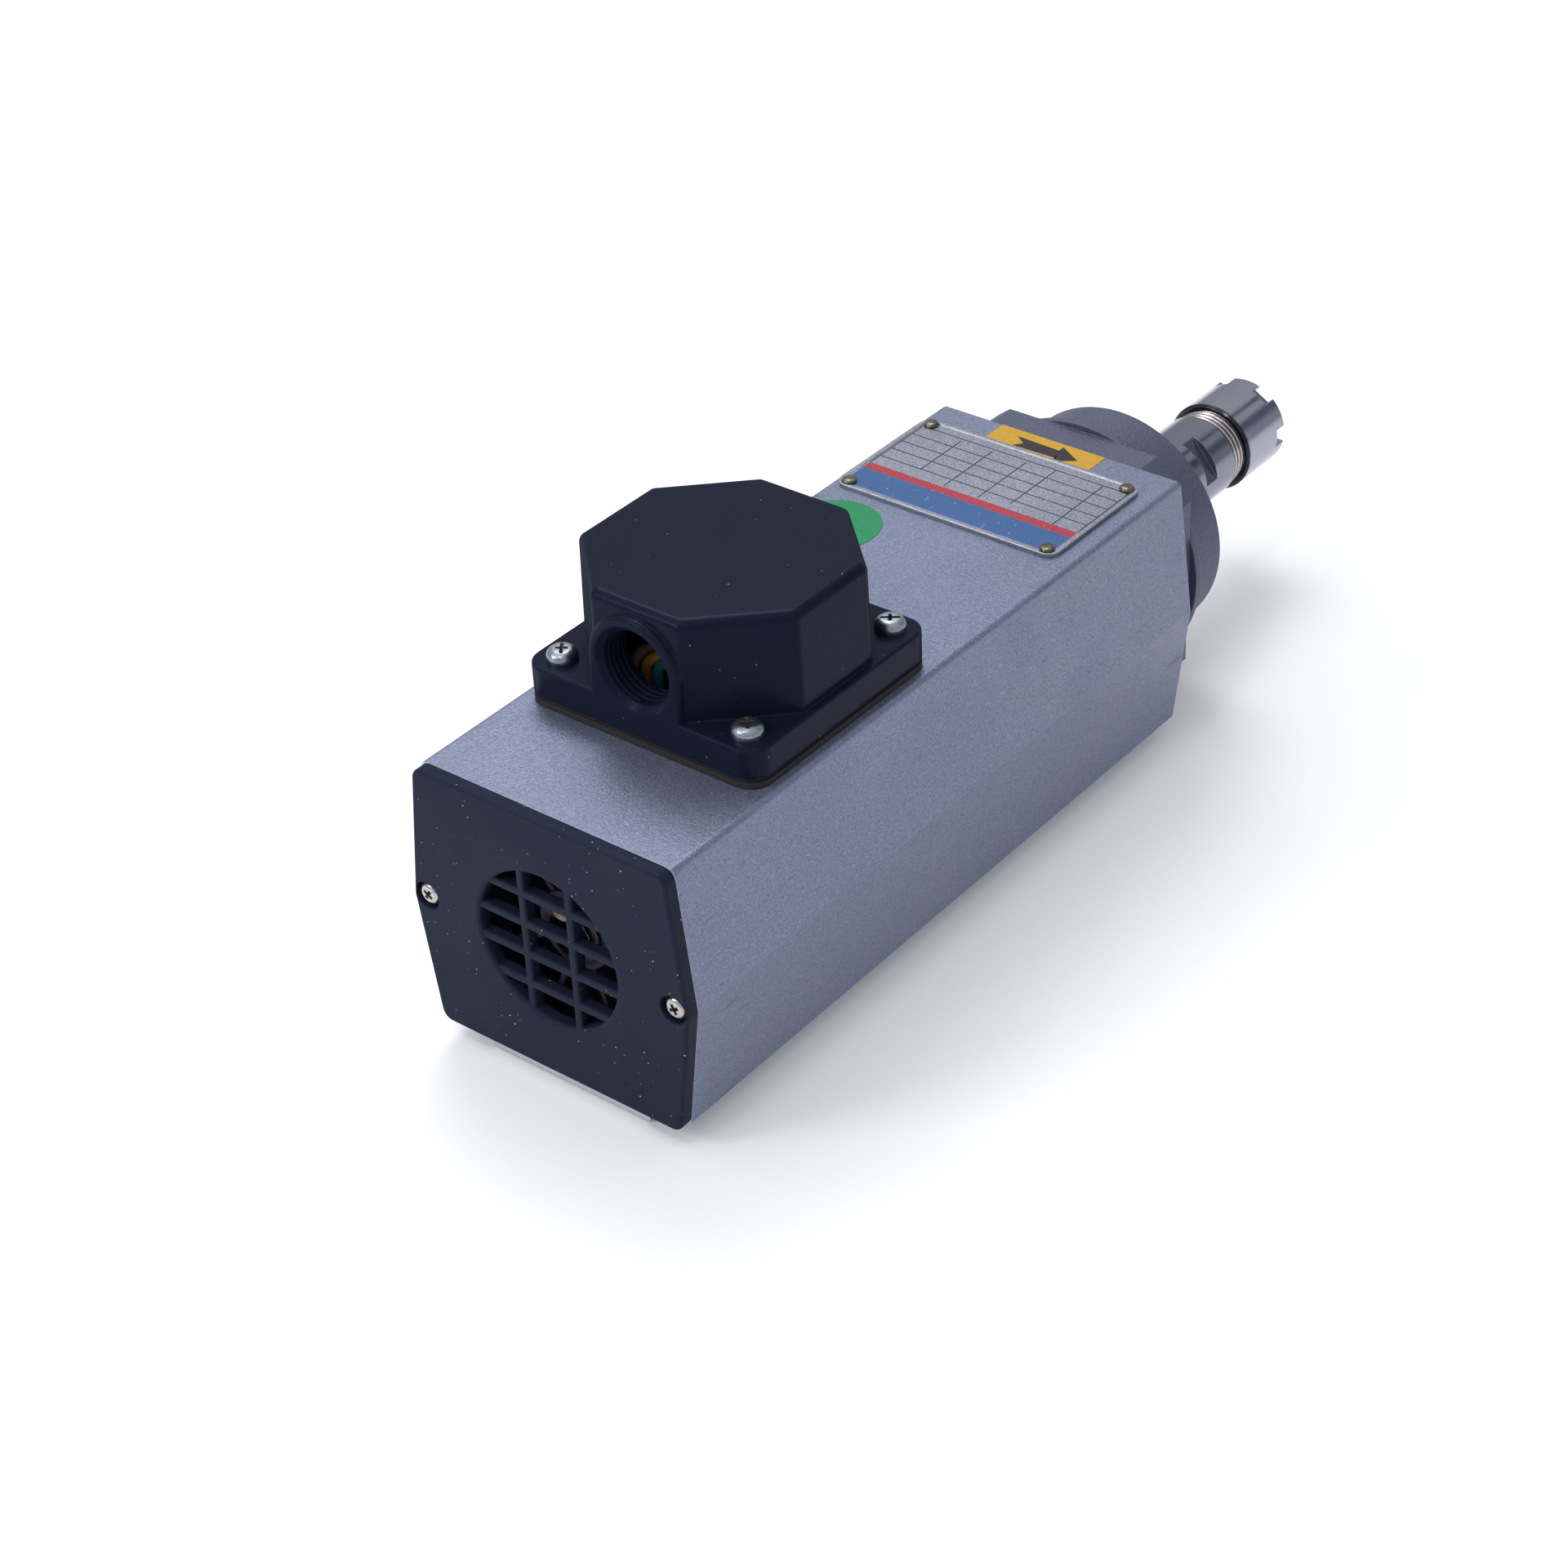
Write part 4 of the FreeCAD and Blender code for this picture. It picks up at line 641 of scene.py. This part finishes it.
# Terminal box
# A black moulding with an eight-sided dome, on a gasket. The arched block on its end holds the
# threaded cable entry, of which a few turns show.
# The pale blue edges of the moulding are a painted highlight.
box_moulding = surface("box_moulding", (0.0078, 0.0107, 0.0240), 0.24, shade=0.12, spread=0.02,
                       grain=1800.0, relief=0.000015, edge_wear_and_highlight=(0.030, 0.041, 0.078),
                       edge_radius=0.0008, edge_gain=2.5, speck_colour=(0.30, 0.32, 0.37),
                       specks=0.012, speck_scale=1300.0, specular=0.07, tint=(0.55, 0.72, 1.0),
                       dull_aslant=True)
gasket_rubber = surface("gasket_rubber", (0.034, 0.031, 0.032), 0.75, shade=0.25, spread=0.08,
                        specular=0.2)
dress(box_moulding, "terminal_box_cover")
dress(gasket_rubber, "terminal_gasket")
box_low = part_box("terminal_box_cover")[0]
entry_rise = 0.0196
entry_z = body_high.z + entry_rise
entry_thread_root = 0.00935
entry_thread_crest = 0.00880
entry_thread_turns = 4
entry_thread_inset = 0.0026
entry_thread_start = box_low.x + entry_thread_inset
entry_thread = helix_ridge("entry_thread", entry_thread_root, entry_thread_crest, thread_pitch,
                           entry_thread_turns, entry_thread_start, entry_z)
settle(entry_thread, "entry_thread", box_moulding, "housing")


# Terminal box screws
# Four zinc plated pan head screws with a combined slot and cross recess. They clamp the box and
# its gasket to the body.
box_head_radius = 0.0037
box_head_height = 0.0029
box_shank_radius = 0.0019
box_recess_width = 0.0010
box_cross_reach = 0.0042
box_cross_depth = 0.0016
box_slot_reach = 0.0070
box_slot_depth = 0.0013
box_turns = (0.75, 0.65, 2.2, 0.3)
box_screw_low, box_screw_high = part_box("terminal_box_screws")
box_shank = box_screw_high.z - box_screw_low.z - box_head_height
box_blades = [recess_cutter(box_recess_width, box_cross_reach, box_cross_depth, box_head_height,
                            math.pi / 2),
              recess_cutter(box_recess_width, box_slot_reach, box_slot_depth, box_head_height, 0)]
box_screw = pan_screw(box_head_radius, box_head_height, box_shank_radius, box_shank, box_blades,
                      zinc_plate)
box_places = [Matrix.Translation((x, y, box_screw_high.z - box_head_height))
              for x in (box_screw_low.x + box_head_radius, box_screw_high.x - box_head_radius)
              for y in (box_screw_low.y + box_head_radius, box_screw_high.y - box_head_radius)]
copies(box_screw, box_places, "terminal_box_screw", box_turns, "housing",
       "terminal_box_screws")


# Terminal block and leads
# A moulded block with six brass studs, and three insulated leads that come up from the winding.
terminal_moulding = surface("terminal_moulding", (0.30, 0.17, 0.12), 0.5, shade=0.12)
terminal_brass = surface("terminal_brass", (0.55, 0.38, 0.14), 0.30, metallic=1.0)
lead_teal = surface("lead_teal", (0.02, 0.34, 0.32), 0.40, shade=0.1)
lead_yellow = surface("lead_yellow", (0.80, 0.42, 0.03), 0.42, shade=0.1)
lead_brown = surface("lead_brown", (0.50, 0.25, 0.21), 0.42, shade=0.1)
dress(terminal_moulding, "terminal_block")
dress(terminal_brass, "terminal_studs")
dress(lead_teal, "motor_lead_u")
dress(lead_yellow, "motor_lead_v")
dress(lead_brown, "motor_lead_w")


# Nameplate
# A stamped aluminium plate with a raised rim, printed with two bands and an empty table, and
# held by four rivets. A painted highlight whitens the rim's edges, and the plate's pale specks are
# painted glints.
ink_blue = (0.014, 0.092, 0.270)
ink_red = (0.370, 0.014, 0.030)
ink_line = (0.016, 0.017, 0.040)
line_half = 0.00021
print_low_y = -0.0292
print_high_y = 0.0328
plate_rows = (0.0667, 0.0713, 0.0758, 0.0803, 0.0849)
plate_columns = ((0.0667, 0.0840, 0.0202), (0.0630, 0.0840, 0.0106), (0.0630, 0.0840, 0.0004),
                 (0.0650, 0.0849, -0.0080), (0.0625, 0.0849, -0.0220),
                 (0.0625, 0.0849, print_low_y), (0.0625, 0.0849, print_high_y))
blue_start, red_start, red_end = 0.0512, 0.0597, 0.0625
plate_prints = [(blue_start, red_start, print_low_y, print_high_y, ink_blue),
                (red_start, red_end, print_low_y, print_high_y, ink_red)]
plate_prints += [(x - line_half, x + line_half, print_low_y, print_high_y, ink_line)
                 for x in plate_rows]
plate_prints += [(low, high, y - line_half, y + line_half, ink_line)
                 for low, high, y in plate_columns]
# The white edges are a painted highlight, and the near-white specks are painted glints.
plate_metal = surface("plate_metal", (0.285, 0.303, 0.358), 0.36, metallic=0.70, shade=0.32,
                      grain=2200.0, contrast=2.4, relief=0.00004, edge_wear_and_highlight=(0.92, 0.92, 0.95),
                      edge_radius=0.0005, edge_gain=5.0, speck_colour=(0.85, 0.86, 0.90),
                      specks=0.07, speck_scale=1500.0, areas=plate_prints, ink=True)
rivet_metal = surface("rivet_metal", (0.15, 0.135, 0.105), 0.30, metallic=0.9, shade=0.35,
                      grain=1200.0, contrast=2.4, relief=0.00005)
dress(plate_metal, "nameplate")
dress(rivet_metal, "nameplate_rivets")


# Labels
# Two printed foils stuck on the body's top: a yellow one with a plain arrow that shows the way
# the spindle turns, in front of the plate, and a plain green round one beside the terminal box.
label_thickness = 0.00010
ink_thickness = 0.00003
arrow_half_width = 0.0018
arrow_tail_y = 0.0098
arrow_head_y = -0.0030
arrow_tip_y = -0.0090
arrow_x = 0.0927
arrow_widths = (0.0, 2.1, 1.0, 1.25)
arrow_notch = 0.0025
arrow_lean = 0.0007
foil_corner = 0.0004
yellow_foil = surface("yellow_foil", (0.56, 0.32, 0.025), 0.40, shade=0.08, grain=900.0,
                      relief=0.00001, edge_wear_and_highlight=(0.40, 0.25, 0.05), edge_radius=0.0002,
                      specular=0.25)
green_foil = surface("green_foil", (0.018, 0.255, 0.100), 0.38, shade=0.08, grain=900.0,
                     relief=0.00001, edge_wear_and_highlight=(0.10, 0.45, 0.22), edge_radius=0.0002,
                     specular=0.2)
label_ink = surface("label_ink", (0.022, 0.021, 0.022), 0.45, shade=0.2, specular=0.3,
                    speck_colour=(0.5, 0.35, 0.1), specks=0.02)


def soften_corners(piece, radius):
    """Rounds the upright edges of a flat foil."""
    pick(piece, lambda co: True)
    bpy.ops.mesh.select_all(action="DESELECT")
    bpy.ops.mesh.select_mode(type="EDGE")
    bpy.ops.object.mode_set(mode="OBJECT")
    points = piece.data.vertices
    for edge in piece.data.edges:
        start, end = (points[i].co for i in edge.vertices)
        edge.select = abs(start.z - end.z) > label_thickness / 2
    bpy.ops.object.mode_set(mode="EDIT")
    bpy.ops.mesh.bevel(offset=radius, segments=4, affect="EDGES")
    bpy.ops.object.mode_set(mode="OBJECT")


label_low = Vector((0.0890, -0.0140, body_high.z))
label_high = Vector((0.0979, 0.0172, body_high.z + label_thickness))
bpy.ops.object.select_all(action="DESELECT")
bpy.ops.mesh.primitive_cube_add(size=1, location=(label_low + label_high) / 2,
                                scale=label_high - label_low)
arrow_label = bpy.context.object
bpy.ops.object.transform_apply(location=True, rotation=True, scale=True)
soften_corners(arrow_label, foil_corner)
settle(arrow_label, "arrow_label", yellow_foil, "housing")

bpy.ops.object.select_all(action="DESELECT")
bpy.ops.mesh.primitive_grid_add(x_subdivisions=2, y_subdivisions=3, size=1)
arrow_print = bpy.context.object
bpy.ops.object.transform_apply(location=True, rotation=True, scale=True)
arrow_rows = {-1: arrow_tip_y, 0: arrow_head_y, 1: arrow_head_y, 2: arrow_tail_y}
print_z = body_high.z + label_thickness
for vertex in arrow_print.data.vertices:
    row = round((vertex.co.y + 0.5) * 3) - 1
    side = round(vertex.co.x * 2)
    reach = arrow_widths[row + 1] * arrow_half_width
    notch = arrow_notch if row == 2 and side == 0 else 0.0
    lean = arrow_lean * side if row >= 0 else 0.0
    vertex.co = Vector((arrow_x + side * reach, arrow_rows[row] - notch + lean, print_z))
pick(arrow_print, lambda co: True)
bpy.ops.mesh.remove_doubles(threshold=1e-6)
bpy.ops.mesh.select_all(action="SELECT")
bpy.ops.mesh.extrude_region_move(TRANSFORM_OT_translate={"value": (0, 0, ink_thickness)})
bpy.ops.mesh.select_all(action="SELECT")
bpy.ops.mesh.normals_make_consistent(inside=False)
bpy.ops.object.mode_set(mode="OBJECT")
settle(arrow_print, "arrow_print", label_ink, "housing")

round_label_radius = 0.0118
round_label_place = (0.0340, 0.0225, body_high.z + label_thickness / 2)
bpy.ops.object.select_all(action="DESELECT")
bpy.ops.mesh.primitive_cylinder_add(vertices=96, radius=round_label_radius, depth=label_thickness,
                                    location=round_label_place)
round_label = bpy.context.object
bpy.ops.object.transform_apply(location=True, rotation=True, scale=True)
pick(round_label, lambda co: co.z > round_label_place[2])
bpy.ops.mesh.bevel(offset=label_thickness / 3, segments=2, affect="EDGES")
bpy.ops.object.mode_set(mode="OBJECT")
settle(round_label, "round_label", green_foil, "housing")


# Studio
# A pale floor, a soft graded sky with two dark flags, and four soft lamps. The camera stands where
# the photograph was taken.
def make_floor():
    bpy.ops.object.select_all(action="DESELECT")
    bpy.ops.mesh.primitive_plane_add(size=floor_size, location=(0, 0, -floor_drop))
    floor = bpy.context.object
    floor.name = "studio_floor"
    paper = bpy.data.materials.new("paper_floor")
    paper.use_nodes = True
    shader = paper.node_tree.nodes["Principled BSDF"]
    shader.inputs["Base Color"].default_value = (0.96, 0.96, 0.97, 1.0)
    shader.inputs["Roughness"].default_value = 0.9
    shader.inputs["Specular IOR Level"].default_value = 0.0
    sight = add_node(paper.node_tree, "ShaderNodeLightPath")
    seen = 0.0
    for ray in ("Is Camera Ray", "Is Glossy Ray", "Is Transmission Ray"):
        total = add_node(paper.node_tree, "ShaderNodeMath", operation="ADD", use_clamp=True)
        feed(paper.node_tree, total, 0, seen)
        feed(paper.node_tree, total, 1, sight.outputs[ray])
        seen = total.outputs[0]
    lift = add_node(paper.node_tree, "ShaderNodeMath", operation="MULTIPLY")
    feed(paper.node_tree, lift, 0, seen)
    feed(paper.node_tree, lift, 1, floor_lift)
    shader.inputs["Emission Color"].default_value = (1.0, 1.0, 1.0, 1.0)
    feed(paper.node_tree, shader, "Emission Strength", lift.outputs[0])
    floor.data.materials.append(paper)


def make_sky(horizon, zenith, flags, flag_colour):
    """A world that is brighter overhead, with dark flags in front that the steel mirrors."""
    world = bpy.data.worlds.new("studio_sky")
    world.use_nodes = True
    bpy.context.scene.world = world
    tree = world.node_tree
    background = tree.nodes["Background"]
    place = add_node(tree, "ShaderNodeTexCoord")
    split = add_node(tree, "ShaderNodeSeparateXYZ")
    feed(tree, split, 0, place.outputs["Generated"])
    height = add_node(tree, "ShaderNodeMapRange")
    feed(tree, height, "Value", split.outputs["Z"])
    feed(tree, height, "From Min", 0.0)
    feed(tree, height, "From Max", zenith_height)
    shade = mix_colours(tree, height.outputs["Result"], (*horizon, 1.0), (*zenith, 1.0))
    for low, high in flags:
        covered = 1.0
        for axis, start, end in (("Y", low - flag_edge, low + flag_edge),
                                 ("Y", high + flag_edge, high - flag_edge),
                                 ("X", *flag_reach), ("Z", *flag_rise)):
            within = add_node(tree, "ShaderNodeMapRange")
            feed(tree, within, "Value", split.outputs[axis])
            feed(tree, within, "From Min", start)
            feed(tree, within, "From Max", end)
            both = add_node(tree, "ShaderNodeMath", operation="MULTIPLY")
            feed(tree, both, 0, covered)
            feed(tree, both, 1, within.outputs["Result"])
            covered = both.outputs[0]
        shade = mix_colours(tree, covered, shade, (*flag_colour, 1.0))
    feed(tree, background, "Color", shade)
    feed(tree, background, "Strength", 1.0)


def add_lamp(name, place, aim, size, power):
    data = bpy.data.lights.new(name, "AREA")
    data.shape = "SQUARE"
    data.size = size
    data.energy = power
    lamp = bpy.data.objects.new(name, data)
    bpy.context.scene.collection.objects.link(lamp)
    lamp.location = place
    lamp.rotation_euler = (Vector(aim) - Vector(place)).to_track_quat("-Z", "Y").to_euler()


floor_size = 8.0
floor_drop = 0.0002
floor_lift = 0.10
zenith_height = 0.9
flag_edge = 0.02
flag_reach = (0.25, 0.45)
flag_rise = (0.15, 0.35)
camera_place = Vector((-0.5103, -0.4083, 0.4805))
camera_forward = Vector((0.6329, 0.5240, -0.5699)).normalized()
camera_right = Vector((0.6150, -0.7875, -0.0411))
camera_lens = 75.765
camera_sensor = 36.0
camera_near = 0.01
make_floor()
horizon_colour = (0.40, 0.41, 0.44)
zenith_colour = (0.74, 0.75, 0.79)
flag_colour = (0.13, 0.15, 0.22)
flag_places = ((-0.23, -0.12), (-0.64, -0.44))
make_sky(horizon_colour, zenith_colour, flag_places, flag_colour)
add_lamp("overhead_softbox", (-0.2, 0.3, 1.1), (0, 0, 0.04), 1.0, 1.2)
add_lamp("back_softbox", (0.36, 0.42, 0.95), (-0.06, 0, 0.06), 0.5, 3.5)
add_lamp("glint_lamp", (-0.48, -0.06, 0.85), (-0.04, 0, 0.09), 0.10, 0.8)
add_lamp("left_softbox", (-0.95, 0.55, 0.75), (-0.06, 0, 0.06), 0.36, 4.0)
camera_data = bpy.data.cameras.new("camera")
camera_data.lens = camera_lens
camera_data.sensor_width = camera_sensor
camera_data.clip_start = camera_near
camera = bpy.data.objects.new("camera", camera_data)
bpy.context.scene.collection.objects.link(camera)
camera_up = camera_right.cross(camera_forward).normalized()
camera_right = camera_forward.cross(camera_up)
facing = Matrix((camera_right, camera_up, -camera_forward)).transposed().to_4x4()
camera.matrix_world = Matrix.Translation(camera_place) @ facing
bpy.context.scene.camera = camera
bpy.context.scene.view_settings.view_transform = "Standard"
